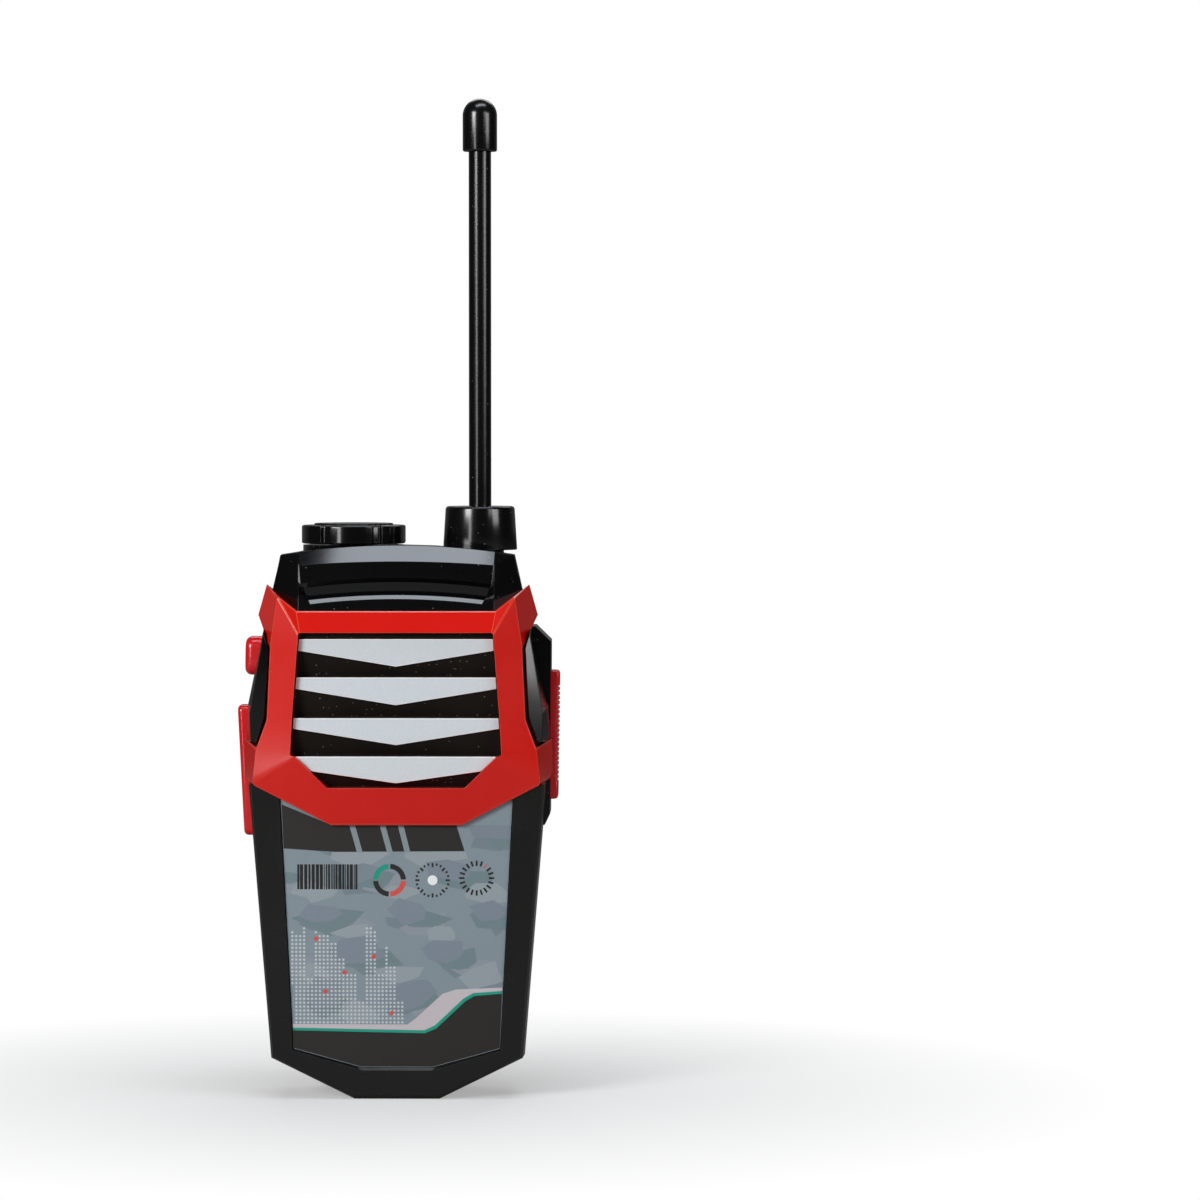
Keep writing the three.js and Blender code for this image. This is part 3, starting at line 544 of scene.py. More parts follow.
# %% Brow
# The carried part ends at its half-width, and a facet falls away from there to the shell's outline.
BROW_PROFILE = np.array([
    # y, z in the middle, sag at the ends, half-width of the line
    (-5.2, 129.45, 1.5, 22.9), (-11.6, 129.35, 1.5, 22.9), (-14.5, 125.7, 0.85, 22.7),
    (-15.4, 122.0, 1.5, 22.3), (-14.2, 120.9, 1.4, 21.6), (-13.5, 118.4, 1.3, 20.9),
    (-15.1, 117.9, 1.2, 20.4), (-15.85, 117.0, 1.2, 20.0), (-16.4, 113.9, 0.0, 20.4),
    (-5.2, 113.8, 0.0, 20.4),
])
BROW_SIDE = np.array([  # where each line meets the outline: x, y, z
    (27.35, -5.2, 127.15), (27.3, -9.6, 127.1), (27.45, -10.0, 126.8), (28.2, -10.0, 123.0),
    (28.6, -10.0, 121.6), (28.9, -10.0, 120.2), (29.1, -10.0, 119.4), (29.3, -10.0, 118.6),
    (29.9, -10.0, 115.0), (29.9, -5.2, 115.0),
])
BROW_LIP = np.array([  # the vertical edge between the carried part and the side facet
    (22.95, -5.2, 127.9), (22.95, -11.6, 127.8), (22.85, -14.6, 125.1), (22.8, -15.5, 121.0),
    (22.8, -15.6, 120.0), (22.8, -15.7, 118.0), (22.8, -15.8, 117.2), (22.8, -15.9, 116.4),
    (22.8, -16.2, 114.0), (22.8, -5.2, 114.0),
])
across = np.linspace(-1, 1, 33)[:, None]
carried = np.stack(
    [
        across * BROW_PROFILE[:, 3],
        np.broadcast_to(BROW_PROFILE[:, 0], (len(across), len(BROW_PROFILE))),
        BROW_PROFILE[:, 1] - BROW_PROFILE[:, 2] * across**2,
    ],
    -1,
)
to_left = np.array([-1, 1, 1])
brow_rings = np.concatenate([[BROW_SIDE * to_left, BROW_LIP * to_left], carried, [BROW_LIP, BROW_SIDE]])
brow = rounded(loft("brow", brow_rings, gloss_black), 0.22, 16)
fasten(brow, "handset", "black_abs", "front_case")

# %% [markdown]
# ## Bezel
# The red bezel is a frame of flat facets: a top band, two side bands, a bottom band and four claws
# that wrap round the shell. It is a loft of five rings: up the inside of the opening, out to the fold
# between the facets, out to the rim, and back down the outside. Stations sit wherever a facet ends.

# %% Bezel
BEZEL_FRONT_Y, BEZEL_BACK_Y, OPENING_BACK_Y = -18.6, PARTING_Y - 0.3, -14.3
BEZEL_HALF = np.array([
    # opening x, z   fold x, y, z          rim x, y, z
    (16.0, 73.0, 15.4, -16.35, 64.5, 15.2, -16.1, 64.2),
    (22.9, 79.8, 33.1, -16.2, 73.7, 33.2, -16.0, 73.45),
    (23.4, 80.25, 33.5, -16.2, 73.95, 35.6, -6.8, 74.7),
    (24.0, 80.45, 33.4, -16.2, 75.7, 36.2, -6.0, 76.1),
    (24.6, 80.7, 32.7, -16.2, 81.9, 36.1, -6.0, 83.8),
    (24.55, 81.8, 32.45, -16.2, 82.4, 32.6, -16.0, 82.35),
    (24.2, 88.7, 30.05, -16.2, 88.8, 30.2, -16.0, 88.75),
    (22.95, 105.2, 29.25, -16.2, 105.6, 29.4, -16.0, 105.6),
    (22.8, 107.0, 29.3, -16.2, 106.3, 32.8, -6.6, 113.0),
    (22.7, 108.6, 27.7, -16.3, 117.2, 30.8, -6.6, 120.1),
    (22.6, 109.0, 27.3, -16.3, 117.25, 27.35, -16.1, 117.5),
    (22.3, 109.2, 23.2, -16.6, 113.95, 23.0, -16.4, 114.2),
])
bezel_loop = mirrored(BEZEL_HALF)
to_left = np.where(bezel_loop[:, 0] < 0, -1, 1)
opening = bezel_loop[:, :2]
fold = np.stack([np.abs(bezel_loop[:, 2]) * to_left, bezel_loop[:, 3], bezel_loop[:, 4]], 1)
rim = np.stack([np.abs(bezel_loop[:, 5]) * to_left, bezel_loop[:, 6], bezel_loop[:, 7]], 1)
rim_back = np.stack([rim[:, 0], np.full(len(rim), BEZEL_BACK_Y), rim[:, 2]], 1)
bezel_rings = [at_depth(opening, OPENING_BACK_Y), at_depth(opening, BEZEL_FRONT_Y), fold, rim, rim_back]
bezel = rounded(loft("bezel", bezel_rings, [gloss_red, red_edge_highlight], wrap=True), 0.26, 12)
# Painted highlight: the bevel's faces take the second material, the paler red.
bezel.modifiers[-1].material = 1
fasten(bezel, "handset", "red_abs", "trim_bezel")

# %% [markdown]
# ## Louvred grille
# The grille plate is one moulding with four vanes. Each vane has a flat front whose lower edge is a
# shallow chevron, and under it a grained slope that falls back to a sound slot. A pale foil is stuck
# on each flat front.

# %% Grille vanes and foils
GRILLE = {"plate_back": -13.4, "slot": -14.4, "front": -16.6, "foil": -16.95, "tuck": 0.35}
BARS = [(107.7, 105.0, 101.3), (98.75, 96.1, 92.3), (89.25, 86.8, 83.0), (80.3, 76.9, 74.1)]
OPENING_RIGHT = np.array([(16.0, 73.0), (23.3, 80.2), (24.6, 80.65), (22.6, 109.2)])


def opening_half_width(z):
    """How far the opening reaches from the middle at height z: straight lines between its corners."""
    return np.interp(z, OPENING_RIGHT[:, 1], OPENING_RIGHT[:, 0])


def chevron_plate(name, top, corner_z, point, front, behind, slope_end, material, edge):
    """A vane or its foil. Seven stations cross the opening; the lower edge falls from each corner to
    the middle. Rings run from the back of the top edge over the front to the end of the slope."""
    share = np.array([-1, -0.66, -0.33, 0, 0.33, 0.66, 1])
    low = corner_z + (point - corner_z) * (1 - np.abs(share))
    low_half = opening_half_width(np.full(7, corner_z)) + edge
    top_half = opening_half_width(np.full(7, top)) + edge
    end_half = opening_half_width(np.full(7, slope_end)) + edge

    def line(half, y, z):
        return np.stack([half * share, np.full(7, y), np.broadcast_to(z, 7)], 1)

    profile = [
        line(top_half, behind, top), line(top_half, front, top), line(low_half, front, low),
        line(end_half, behind, np.minimum(slope_end, low - 0.05)),
    ]
    return loft(name, np.stack(profile, 1), material)


for number, (top, corner_z, point) in enumerate(BARS, 1):
    slope_end = BARS[number][0] + 0.35 if number < len(BARS) else 73.2
    vane = chevron_plate(
        f"vane_{number}", top, corner_z, point, GRILLE["front"], GRILLE["slot"], slope_end,
        grained_black, GRILLE["tuck"],
    )
    fasten(rounded(vane, 0.12, 20), "handset", "black_abs", "louvre_panel")
    face = chevron_plate(
        f"vane_foil_{number}", top, corner_z, point, GRILLE["foil"], GRILLE["front"], corner_z,
        [foil, foil_edge_with_highlight], -0.12,
    )
    # The bevel takes the near-white second material: the foil's cut edge, with a painted highlight.
    rounded(face, 0.2, 20, 2).modifiers[-1].material = 1
    fasten(face, "handset", "silver_facing", f"louvre_face_{number}")

plate_half = np.array([(15.9, 72.4), (24.4, 80.2), (25.4, 81), (23.6, 110.2)])
plate = mirrored(plate_half)
panel = loft("grille_plate", [at_depth(plate, y) for y in (GRILLE["plate_back"], -14.3)], grained_black)
fasten(rounded(panel, 0.2), "handset", "black_abs", "louvre_panel")
top_strip = np.array([(23.2, 107.6), (22.9, 109.6)])
strip = loft("grille_top_strip", [at_depth(mirrored(top_strip), y) for y in (-14.2, -16.0)], grained_black)
fasten(rounded(strip, 0.15), "handset", "black_abs", "louvre_panel")

# %% [markdown]
# ## Printed label
# The label is a sheet with layers of ink on it. Each ink is a set of thin flat shapes, raised by a
# few hundredths of a millimetre, so that its edges stay crisp however near the camera comes. Shapes
# of one kind are worked out together as one array: shape, corner, (x, z).

# %% Ink helpers
SHEET_BACK, SHEET_FACE, INK = -14.7, -14.9, 0.015


def slabs(name, outlines, layer, material, back=SHEET_FACE + 0.05):
    """Thin closed slabs, one for each outline in an array (shapes, corners, 2). Layer 1 lies on the
    sheet and each further layer lies INK in front of the one before."""
    outlines = np.asarray(outlines, float)
    count, corners = outlines.shape[:2]
    depths = np.array([back, SHEET_FACE - INK * layer])
    points = np.empty((count, 2, corners, 3))
    points[..., 0], points[..., 2] = outlines[:, None, :, 0], outlines[:, None, :, 1]
    points[..., 1] = depths[None, :, None]
    first = np.arange(count)[:, None] * 2 * corners
    i = np.arange(corners)
    after = (i + 1) % corners
    sides = np.stack([first + i, first + after, first + corners + after, first + corners + i], -1)
    faces = sides.reshape(-1, 4).tolist() + (first + i).tolist() + (first + corners + i).tolist()
    piece = make_piece(name, points.reshape(-1, 3), faces, material)
    return fasten(piece, "handset", "label_print", "front_label")


def discs(centres, radius, corners=10):
    """Round outlines: (shapes, corners, 2) from an array of centres and one radius."""
    angle = np.linspace(0, 2 * np.pi, corners, endpoint=False)
    return np.asarray(centres)[:, None] + radius * np.stack([np.cos(angle), np.sin(angle)], -1)


def sectors(centre, inner, outer, starts, ends, steps=12):
    """Ring sectors between two radii. Angles are in degrees from +x towards +z."""
    angle = np.radians(np.linspace(starts, ends, steps, axis=-1))
    ray = np.stack([np.cos(angle), np.sin(angle)], -1)
    return np.asarray(centre) + np.concatenate([ray * outer, ray[:, ::-1] * inner], 1)


def bars(left, right, low, high):
    """Upright bars: (shapes, 4, 2). Each of the four may be a number or an array."""
    left, right, low, high = np.broadcast_arrays(left, right, low, high)
    x = np.stack([left, right, right, left], -1)
    z = np.stack([low, low, high, high], -1)
    return np.stack([x, z], -1)


# %% Inks
def ink(name, code, second):
    """One printing ink on the paper: a fine mottle between two near tones."""
    return grained(name, (code, second), 0.0, 0.45, 0.25)


# Offset inks on coated paper. Each is a flat tone with a faint mottle; the film over them adds gloss.
camo = ink("camo_base_ink", "#7F8D95", "#85929A")
charcoal = ink("charcoal_ink", "#1B1917", "#24211F")
black_ink = ink("black_ink", "#131211", "#1A1918")
slate = ink("slate_ink", "#7E8A90", "#88949A")
pale = ink("pale_ink", "#BDC3C6", "#C6CBCD")
blush = ink("blush_ink", "#BDB5BA", "#C7BFC3")
white_ink = ink("white_ink", "#E4E9EA", "#F0F3F3")
teal = ink("teal_ink", "#0F8E78", "#169B85")
coral = ink("coral_ink", "#C94A43", "#D4554D")
faded_coral = ink("faded_coral_ink", "#A8626A", "#B26C73")

# %% Sheet
label_outline = mirrored([(8.3, 7.5), (24.1, 11.85), (27.1, 70.5), (15, 64.4)])
slabs("label_sheet", [label_outline], 0, camo, SHEET_BACK)

# %% [markdown]
# Printed camouflage is made of large, angular patches of nearly the same tone. Each patch here is a
# seven-cornered shape, wider than it is high, whose corners lie at random distances from its middle.
# Each tone is one layer of ink, and a corner that would leave the label is held at its edge.


# %% Camouflage patches
PATCH = {"step_x": 20.0, "step_z": 9.6, "across": 7, "up": 7, "corners": 7}


def patches(seed):
    """Random angular outlines: (count, corners, 2), one in each cell of a loose grid that a random
    shift moves as a whole. A corner's distance from its cell's middle is random, and it stays inside
    the cell, so patches of one ink never overlap."""
    rng = np.random.default_rng(seed)
    count = PATCH["across"] * PATCH["up"]
    column, row = np.arange(count) % PATCH["across"], np.arange(count) // PATCH["across"]
    spread = rng.uniform(-0.3, 0.3, (count, PATCH["corners"]))
    turned_by = rng.uniform(0, 6, (count, 1))
    angle = (np.arange(PATCH["corners"]) + spread) * 2 * np.pi / PATCH["corners"] + turned_by
    reach = rng.uniform(0.4, 1.0, angle.shape) * rng.uniform(0.6, 1.0, (count, 1))
    middle_x = (column - 3 + 0.5 * (row % 2))[:, None] * PATCH["step_x"] + rng.uniform(-9, 9)
    middle_z = 14 + row[:, None] * PATCH["step_z"] + rng.uniform(-4, 4)
    x = middle_x + reach * np.cos(angle) * PATCH["step_x"] * 0.49
    z = middle_z + reach * np.sin(angle) * PATCH["step_z"] * 0.49
    z = np.clip(z, 14.0, 64.2)
    edge = np.interp(z, [11.85, 70.5], [24.1, 27.1]) - 0.05
    shapes = np.stack([np.clip(x, -edge, edge), z], -1)
    broad = np.ptp(shapes[..., 0], 1) * np.ptp(shapes[..., 1], 1) > 6
    return shapes[broad & (np.ptp(x, 1) * 0.6 < np.ptp(shapes[..., 0], 1))]


TONES = [
    ("#707E86", "#788690"), ("#868E98", "#8E96A0"), ("#6A7E83", "#72868B"),
    ("#8D989E", "#95A0A6"), ("#77828E", "#7F8A96"),
]
for number, tones in enumerate(TONES):
    tone_ink = ink(f"camo_ink_{number + 1}", *tones)
    slabs(f"camo_patches_{number + 1}", patches(20 + number), 0.15 * (number + 1), tone_ink)

# %% Top band, slashes and code bars
slabs(
    "charcoal_band",
    [[(-26.35, 58.7), (-14.2, 57.9), (15.9, 58.1), (14.0, 64.1), (-15.0, 64.1), (-26.8, 69.0)]],
    1,
    charcoal,
)
slash_top, slash_low = np.array([-11.05, -3.98, 0.27]), np.array([-9.24, -2.19, 1.9])
slash = np.stack([slash_low, slash_low + 1.33, slash_top + 1.33, slash_top], -1)
slash_z = np.broadcast_to([57.75, 57.75, 64.3, 64.3], slash.shape)
slabs("slashes", np.stack([slash, slash_z], -1), 2, slate)
rng = np.random.default_rng(4)
widths = rng.choice([0.2, 0.34, 0.5, 0.75], 26)
gaps = rng.choice([0.13, 0.17, 0.24], 26)
starts = -23.2 + np.cumsum(widths + gaps) - (widths + gaps)
kept = starts + widths < -9.1
slabs("code_bars", bars(starts, starts + widths, 49.15, 55.0)[kept], 1, black_ink)

# %% [markdown]
# The three gauges are rings of sectors and ticks, placed by angle.


# %% Gauges
def ticks(centre, inner, outer, count, half_width):
    """Radial ticks: count bars of constant width round a centre. inner may differ from tick to tick."""
    angle = np.linspace(0, 2 * np.pi, count, endpoint=False)[:, None, None]
    inner = np.broadcast_to(inner, count)
    radial = np.stack([inner, np.full(count, outer), np.full(count, outer), inner], -1)[..., None]
    across = np.array([-1, -1, 1, 1])[None, :, None] * half_width
    ray = np.concatenate([np.cos(angle), np.sin(angle)], -1)
    side = np.concatenate([-np.sin(angle), np.cos(angle)], -1)
    return np.asarray(centre) + radial * ray + across * side


RING, DIAL, SMALL_DIAL = (-1.65, 51.3), (8.4, 51.3), (18.7, 51.8)
slabs("ring_teal", sectors(RING, 2.65, 3.85, [93], [177]), 1, teal)
slabs("ring_coral", sectors(RING, 2.65, 3.85, [273], [357]), 1, coral)
slabs("ring_dark", sectors(RING, 2.65, 3.85, [3, 183], [87, 267]), 1, charcoal)
long_ticks = np.where(np.arange(24) % 3 == 0, 3.05, 3.5)
slabs("dial_ticks", ticks(DIAL, long_ticks, 4.05, 24, 0.22), 1, black_ink)
slabs("dial_dot", discs([DIAL], 1.15, 32), 1, white_ink)
small_ticks = ticks(SMALL_DIAL, 2.85, 4.1, 20, 0.23)
marked = np.arange(20) == 3  # one tick is red, as on a real gauge
slabs("small_dial_ticks", small_ticks[~marked], 1, black_ink)
slabs("small_dial_mark", small_ticks[marked], 1, faded_coral)

# %% Skyline of dots
PITCH = 0.917
columns = np.arange(30)
TOPS = np.array([
    39.1, 39.1, 38.3, 38.3, 40.9, 28.6, 28.6, 39.8, 38.7, 38.7, 38.7, 36.7, 36.7, 32.7, 32.7,
    29.8, 29.8, 29.8, 22.6, 22.6, 40.2, 40.2, 39.3, 29.8, 29.8, 35.5, 31.7, 31.7, 23.4, 23.4,
])
levels = np.arange(26)
dot_x, dot_z = np.meshgrid(-25.3 + PITCH * columns, 18.0 + PITCH * levels)
lit = dot_z < TOPS
inside_left = dot_x > -(24.1 + (dot_z - 11.85) * 0.0505) + 0.45
skyline = np.stack([dot_x, dot_z], -1)[lit & inside_left]
accents = np.array([(-18.85, 37.6), (-12.15, 29.7), (-16.65, 25.25), (-5.4, 33.4), (-1.15, 20.2)])
near_accent = (np.linalg.norm(skyline[:, None] - accents, axis=-1) < 0.62).any(1)
slabs("skyline_dots", discs(skyline[~near_accent], 0.29, 8), 1, pale)
slabs("accent_dots", discs(accents, 0.52, 16), 2, coral)

# %% [markdown]
# Two stripes swing up from the left edge to the right one, and the ground under them is dark. Each
# stripe is a strip between two curves, so its outline is one curve there and the other back.


# %% Stripes and ground
def strip(points, low_points):
    """A closed outline between an upper and a lower line of points, both from left to right."""
    return [np.vstack([points, np.asarray(low_points)[::-1]])]


PALE_TOP = [(-24.35, 17.6), (2.5, 17.5), (4.4, 18.9), (10.7, 24.7), (13.8, 25.7), (24.7, 26.2)]
TEAL_TOP = [(-24.3, 16.75), (6.4, 16.15), (8.9, 17.3), (15.6, 23.6), (17.9, 24.9), (24.65, 25.4)]
TEAL_LOW = [(-24.25, 16.1), (6.6, 15.45), (9.2, 16.55), (15.9, 22.85), (18.1, 24.2), (24.6, 24.75)]
GROUND = [(-24.05, 11.95), (-8.3, 7.6), (8.3, 7.6), (24.05, 11.95)]
slabs("pale_stripe", strip(PALE_TOP, TEAL_TOP), 1, blush)
slabs("teal_stripe", strip(TEAL_TOP, TEAL_LOW), 1, teal)
slabs("charcoal_ground", strip(TEAL_LOW, GROUND), 1, charcoal)

# %% [markdown]
# ## Side keys
# A key is a cap, a flange that keeps it in the shell, and a stem that reaches the switch. All of them
# are rounded rectangles across the way that the key is pressed, so a key is a loft of such
# rectangles from the stem out to the cap, whose last rings shrink to round its edge.


# %% Key helper
KEY_Y = 2.5
STEM_X = 25.1


def round_rect(half_y, low, high, radius, per_corner=6):
    """A rounded rectangle as (y, z) points: a quarter circle at each corner."""
    angle = np.radians(np.linspace(0, 90, per_corner))
    quarter = np.array([0, 90, 180, 270])[:, None] + np.degrees(angle)[None]
    turn = np.radians(quarter)
    centre_y = np.array([1, -1, -1, 1])[:, None] * (half_y - radius)
    centre_z = np.array([high - radius, high - radius, low + radius, low + radius])[:, None]
    y = centre_y + radius * np.cos(turn)
    z = centre_z + radius * np.sin(turn)
    return np.stack([y.ravel(), z.ravel()], -1)


def key_ring(side, x, slant, half_y, low, high, radius):
    """One ring of a key. x is where it is at mid height and slant how far it moves out per mm up."""
    ring = round_rect(half_y, low, high, radius)
    out = x + slant * (ring[:, 1] - (low + high) / 2)
    return np.stack([side * out, KEY_Y + ring[:, 0], ring[:, 1]], 1)


def key_cap(side, root, top, slant, half_y, low, high, radius, edge):
    """The cap's rings from the root out to the top, its edge rounded by a quarter circle."""
    t = np.radians(np.linspace(0, 90, 6))
    shrink, lift = edge * (1 - np.cos(t)), edge * np.sin(t)
    walls = [key_ring(side, root, slant, half_y, low, high, radius)]
    rim = [
        key_ring(side, top - edge + up, slant, half_y - s, low + s, high - s, radius - 0.9 * s)
        for s, up in zip(shrink, lift)
    ]
    return walls + rim


def stem(side, x, z):
    """One ring of a key's square stem, at x, round the height z."""
    return key_ring(side, x, 0, 1.5, z - 1.5, z + 1.5, 0.2)


# %% Call button
call_rings = [
    stem(-1, STEM_X, 103), stem(-1, 27.7, 103),
    key_ring(-1, 27.9, -0.21, 5, 97.7, 108.3, 0.6), key_ring(-1, 29.1, -0.21, 5, 97.7, 108.3, 0.6),
    *key_cap(-1, 29.3, 36.4, -0.02, 3.75, 98.5, 107.6, 2.6, 1.5),
]
call_button = smooth(loft("call_button_cap", call_rings, key_red), 40)
fasten(call_button, "call_button", "red_abs", "call_button")

# %% Long key
long_rings = [
    stem(-1, STEM_X, 76), stem(-1, 29.6, 76),
    key_ring(-1, 29.85, 0.036, 4.4, 59.6, 92.4, 0.6), key_ring(-1, 30.9, 0.036, 4.4, 59.6, 92.4, 0.6),
    *key_cap(-1, 31.1, 37.5, 0.05, 3.25, 60.6, 91.4, 1.5, 1.0),
]
long_key = smooth(loft("long_key_cap", long_rings, key_red), 40)
fasten(long_key, "morse_key", "red_abs", "morse_key")

# %% [markdown]
# The talk key has ribs across it for a wet thumb. It is lofted the other way, from its foot to its
# top, with a rounded section whose reach shrinks at each groove.

# %% Talk key
RIB = {"count": 21, "pitch": 1.1, "first": 73.5, "depth": 0.45, "groove": 0.5}
groove_z = RIB["first"] + RIB["pitch"] * np.arange(RIB["count"])[:, None]
edge_steps = np.array([-0.12, 0.0, 0.12])  # each edge of a groove is rounded over three rings
groove_steps = groove_z + np.concatenate([edge_steps, RIB["groove"] + edge_steps])
groove_depth = np.broadcast_to([0, 0.1, RIB["depth"], RIB["depth"], 0.1, 0], groove_steps.shape)
ends_z = np.array([69.3, 69.36, 69.6, 70.1, 98.8, 99.3, 99.54, 99.6])
ends_depth = np.array([0.9, 0.45, 0.15, 0, 0, 0.15, 0.45, 0.9])
talk_z = np.concatenate([ends_z[:4], groove_steps.ravel(), ends_z[4:]])
talk_depth = np.concatenate([ends_depth[:4], groove_depth.ravel(), ends_depth[4:]])
talk_reach = np.interp(talk_z, [69.7, 99.1], [37.45, 37.9]) - talk_depth
turn = np.radians(np.linspace(-90, 90, 17))
dome_y = np.sign(np.sin(turn)) * np.abs(np.sin(turn)) ** 0.35
dome_x = np.cos(turn) ** 0.35
from_end = np.minimum(np.arange(len(talk_z)), np.arange(len(talk_z))[::-1])
half = (3.5 - 0.5 * np.where(from_end < len(ends_z) // 2, talk_depth, 0.0))[:, None]
talk_points = np.stack(
    [
        36.2 + (talk_reach[:, None] - 36.2) * dome_x,
        KEY_Y + half * dome_y,
        np.broadcast_to(talk_z[:, None], (len(talk_z), len(turn))),
    ],
    -1,
)
talk_root = np.stack(
    [
        np.full((len(talk_z), 2), 33.0),
        KEY_Y + half * np.array([1, -1]),
        np.broadcast_to(talk_z[:, None], (len(talk_z), 2)),
    ],
    -1,
)
talk_cap = smooth(loft("talk_key_cap", np.concatenate([talk_points, talk_root], 1), key_red), 40)
fasten(talk_cap, "talk_key", "red_abs", "talk_key")
talk_rings = [
    stem(1, STEM_X, 84.5), stem(1, 31.5, 84.5), key_ring(1, 31.6, 0, 4.6, 67.4, 101.6, 0.6),
    key_ring(1, 33.1, 0, 4.6, 67.4, 101.6, 0.6),
]
talk_flange = rounded(loft("talk_key_flange", talk_rings, key_red), 0.15, 40)
fasten(talk_flange, "talk_key", "red_abs", "talk_key")

# %% [markdown]
# ## Turned parts
# A knob, a collar, a rod or a screw head is turned: a profile of (radius, height) swept round an axis.
# The radius may also change with the angle, which makes the lobes of a knob or the cross in a screw.


# %% Turning helper
def turned(name, profile, axis_at, material, stations=64, radius_change=None, wrap=False):
    """Sweeps a profile of (radius, height) round an upright axis at (x, y). radius_change, if given,
    is (levels, stations) and is taken off the radius."""
    profile = np.asarray(profile, float)
    angle = np.linspace(0, 2 * np.pi, stations, endpoint=False)
    radius = np.broadcast_to(profile[:, :1], (len(profile), stations))
    if radius_change is not None:
        radius = np.maximum(radius - radius_change, 0.01)
    x = axis_at[0] + radius * np.cos(angle)
    y = axis_at[1] + radius * np.sin(angle)
    z = np.broadcast_to(profile[:, 1:], radius.shape)
    return loft(name, np.stack([x, y, z], -1), material, wrap=wrap)


def arc(centre, radius, start, end, steps=6):
    """A piece of a circle in a profile, as (radius, height) pairs. Angles in degrees."""
    angle = np.radians(np.linspace(start, end, steps))
    return [(centre[0] + radius * math.cos(a), centre[1] + radius * math.sin(a)) for a in angle]


# %% Volume knob
knob_low, knob_high = box_mm("volume_knob")
KNOB = {
    "at": ((knob_low[0] + knob_high[0]) / 2, (knob_low[1] + knob_high[1]) / 2),
    "r": (knob_high[1] - knob_low[1]) / 2, "foot": knob_low[2], "top": knob_high[2],
}
disc_r, step_z = 9.3, KNOB["top"] - 0.45
knob_profile = [
    (3.2, KNOB["foot"] + 3.0), (3.2, KNOB["foot"] - 0.22), (6.0, KNOB["foot"] - 0.22), (6.2, KNOB["foot"]),
    (KNOB["r"] - 0.3, KNOB["foot"]), (KNOB["r"], KNOB["foot"] + 0.3),
    *arc((KNOB["r"] - 0.45, step_z - 0.45), 0.45, 0, 90),
    (disc_r + 0.12, step_z), *arc((disc_r - 0.15, KNOB["top"] - 0.15), 0.15, 0, 90, 3),
]
stations = 240
angle = np.degrees(np.linspace(0, 2 * np.pi, stations, endpoint=False))
from_groove = np.abs((angle + 30) % 60 - 30)
groove_shape = np.clip((5.2 - from_groove) / 0.8, 0, 1)
depth = np.array([0] * 4 + [0.9] * 8 + [0] * 4)[:, None]
knob = turned("knob", knob_profile, KNOB["at"], gloss_black, stations, depth * groove_shape)
fasten(rounded(knob, 0.12, 38, 2), "volume_knob", "black_abs", "volume_knob")

# %% Antenna collar, rod and tip
collar_low, collar_high = box_mm("antenna_collar")
AERIAL = ((collar_low[0] + collar_high[0]) / 2, (collar_low[1] + collar_high[1]) / 2)
COLLAR_TOP, COLLAR_FOOT = collar_high[2], 128.0
collar_profile = [
    (4.15, 124.2), (5.65, 124.2), (5.65, COLLAR_FOOT), *arc((8.5, COLLAR_FOOT + 0.25), 0.25, -90, 0, 4),
    *arc((7.4, COLLAR_TOP - 0.8), 0.8, 5, 90, 8), *arc((3.6, COLLAR_TOP - 0.3), 0.3, 90, 180, 4),
    (3.3, 137.2), (5.5, 130.9), (4.15, 129.5),
]
collar = smooth(turned("antenna_collar_cone", collar_profile, AERIAL, soft_black, 96, wrap=True), 50)
fasten(collar, "handset", "black_abs", "antenna_collar")

ROD_R, TIP_R = 2.65, 4.07
TIP_FOOT, TIP_TOP = 222.0, box_mm("antenna_tip")[1][2]
rod_z = np.concatenate([np.linspace(132, 154, 23), np.linspace(158, 221.8, 17)])  # close where it bends
rod_profile = [
    (0.8, 216), *[(0.8, z) for z in rod_z[rod_z < 215][::-1]],
    (0.8, 131), (2.4, 131), *[(ROD_R, z) for z in rod_z], (ROD_R, 224.4),
]
aerial = smooth(turned("antenna_sleeve", rod_profile, AERIAL, soft_black, 48), 50)
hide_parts("antenna_rod")
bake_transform(aerial)
tip_profile = [
    (2.95, 225), (2.95, TIP_FOOT), (TIP_R - 0.3, TIP_FOOT), (TIP_R - 0.05, TIP_FOOT + 0.2),
    (TIP_R, TIP_FOOT + 0.5), *arc((0.05, TIP_TOP - TIP_R), TIP_R - 0.05, 0, 90, 16),
]
tip = smooth(turned("antenna_cap", tip_profile, AERIAL, soft_black, 64), 50)
fasten(tip, "antenna", "soft_black", "antenna_tip")

# %% [markdown]
# ## Back of the handset
# The rear shell, the battery door and the belt clip keep the exact shapes of the mechanical model,
# because screws, hinges and the battery fit into them. A copy of each gets its flat faces merged and
# its sharp edges rounded.


# %% Softened copies
def softened(node, width_mm, material, angle=35):
    """A copy of a CAD node with equal points merged, flat faces joined and its edges rounded."""
    mesh = nodes[node].data.copy()
    mesh.transform(nodes[node].matrix_world)
    mesh.name = node + "_soft"
    mesh.materials.clear()
    mesh.materials.append(material)
    work = bmesh.new()
    work.from_mesh(mesh)
    bmesh.ops.remove_doubles(work, verts=work.verts, dist=0.01 * MM)
    bmesh.ops.dissolve_limit(work, angle_limit=math.radians(1), verts=work.verts, edges=work.edges)
    bmesh.ops.recalc_face_normals(work, faces=work.faces)
    work.to_mesh(mesh)
    work.free()
    piece = bpy.data.objects.new(node + "_soft", mesh)
    bpy.context.scene.collection.objects.link(piece)
    rounded(piece, width_mm, angle, 2).modifiers[-1].harden_normals = False
    even = piece.modifiers.new("flat_facets", "WEIGHTED_NORMAL")  # the broad facets win over the bevels
    even.mode = "FACE_AREA"
    even.weight = 100
    return piece


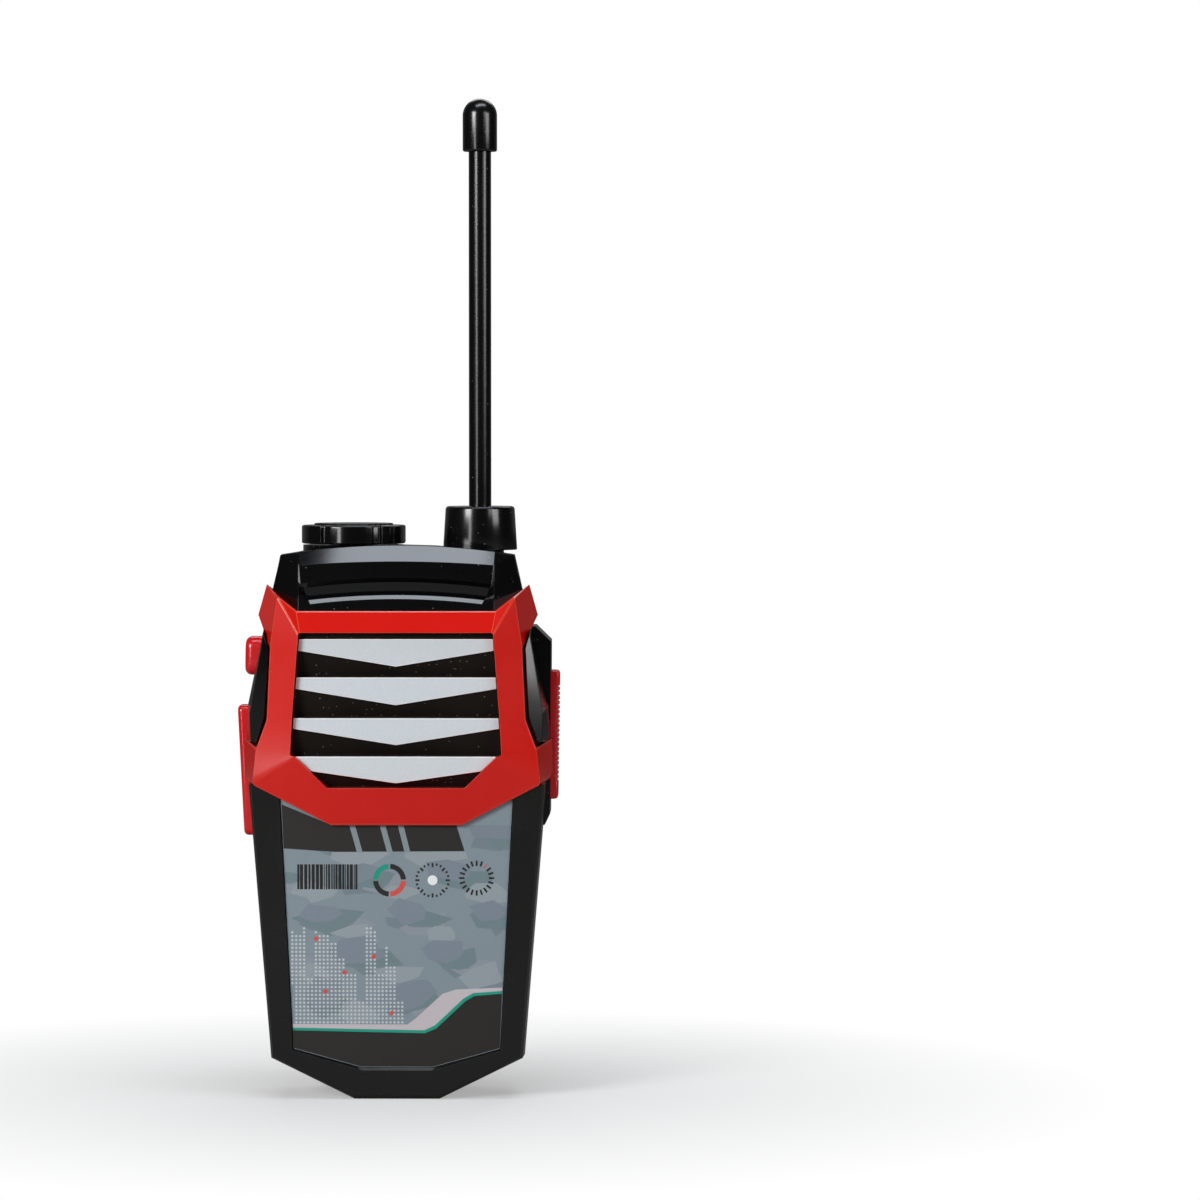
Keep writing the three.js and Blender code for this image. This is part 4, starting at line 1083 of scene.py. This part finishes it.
rear_shell = softened("rear_case", 0.35, gloss_black, 20)
fasten(rear_shell, "handset", "black_abs", "rear_case")
door = softened("battery_door", 0.25, grained_black)
fasten(door, "battery_door", "black_abs", "battery_door")
clip = softened("belt_clip", 0.3, gloss_black)
fasten(clip, "belt_clip", "black_abs", "belt_clip")

# %% [markdown]
# ## Screws
# The screws that show have a cross recess. A cross is a ring too: at each angle its radius is the
# nearer of the arm's end and the arm's side, so the recess is two more rings of the same turned part.


# %% Cross-head screws
def cross_radius(angle, reach, half_width):
    """The radius of a plus sign at an angle: the nearer of its arm's end and its arm's side."""
    off_axis = (angle + np.pi / 4) % (np.pi / 2) - np.pi / 4
    side = half_width / np.maximum(np.abs(np.sin(off_axis)), 1e-6)
    return np.minimum(reach / np.cos(off_axis), side)


def cross_screw(node, shank, head, crown, floor_depth, stations=96):
    """A screw along y, facing +y. shank and head are radii, crown how far the head stands up."""
    low, high = box_mm(node)
    centre = (low + high) / 2
    top = high[1]
    angle = np.linspace(0, 2 * np.pi, stations, endpoint=False)
    flat = np.ones(stations)
    rings = [
        (0.05 * flat, low[1]), (shank * flat, low[1] + 0.8), (shank * flat, top - crown - 1.0),
        (head * flat, top - crown - 1.0), (head * flat, top - crown),
        ((head - 0.15) * flat, top - crown + 0.15), ((head - 0.75) * flat, top - 0.05),
        (cross_radius(angle, 0.5 * head, 0.16 * head), top),
        (cross_radius(angle, 0.42 * head, 0.12 * head), top - floor_depth),
    ]
    points = [
        np.stack([centre[0] + r * np.cos(angle), np.full(stations, y), centre[2] + r * np.sin(angle)], -1)
        for r, y in rings
    ]
    return smooth(loft(node + "_cross_head", points, zinc), 25)


for number in range(1, 5):
    screw = cross_screw(f"case_screw_{number}", 1.35, 2.8, 0.7, 1.0)
    fasten(screw, "handset", "steel", f"case_screw_{number}")
door_screw = cross_screw("door_screw", 1.15, 2.6, 0.6, 0.9)
fasten(door_screw, "battery_door", "steel", "door_screw")

# %% [markdown]
# ## Clip spring
# The belt clip closes by a torsion spring: a few turns of wire round the pin, with one leg on the
# shell and the other under the clip. It is a ring of points carried along that path.

# %% Torsion spring
pin = middle("clip_pin")
COIL = {"r": 1.75, "wire": 0.3, "half": 2.2, "turns": 3}
t = np.linspace(0, 1, 97)
around = 2 * np.pi * COIL["turns"] * t
coil = np.stack(
    [
        COIL["half"] * (2 * t - 1),
        pin[1] - COIL["r"] * np.sin(around),
        pin[2] + COIL["r"] * np.cos(around),
    ],
    -1,
)
clip_leg = np.array([(-COIL["half"], 22.0, 118.0), (-COIL["half"], 21.4, 115.5)])
shell_leg = np.array([(COIL["half"], 18.8, 115.5), (COIL["half"], 17.5, 118.0)])
path = np.concatenate([clip_leg, coil, shell_leg])
along = np.gradient(path, axis=0)
along /= np.linalg.norm(along, axis=1)[:, None]
up = np.cross(along, [1.0, 0.0, 0.0])
up /= np.linalg.norm(up, axis=1)[:, None]
out = np.cross(up, along)
turn = np.linspace(0, 2 * np.pi, 12, endpoint=False)[:, None, None]
wire = path + COIL["wire"] * (np.cos(turn) * up + np.sin(turn) * out)
spring = smooth(loft("clip_spring_wire", wire.transpose(1, 0, 2), zinc), 50)
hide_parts("clip_spring")
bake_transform(spring)

# %% Battery
cell = softened("battery", 0.9, jacket, 50)
fasten(cell, "handset", "battery_jacket", "battery")
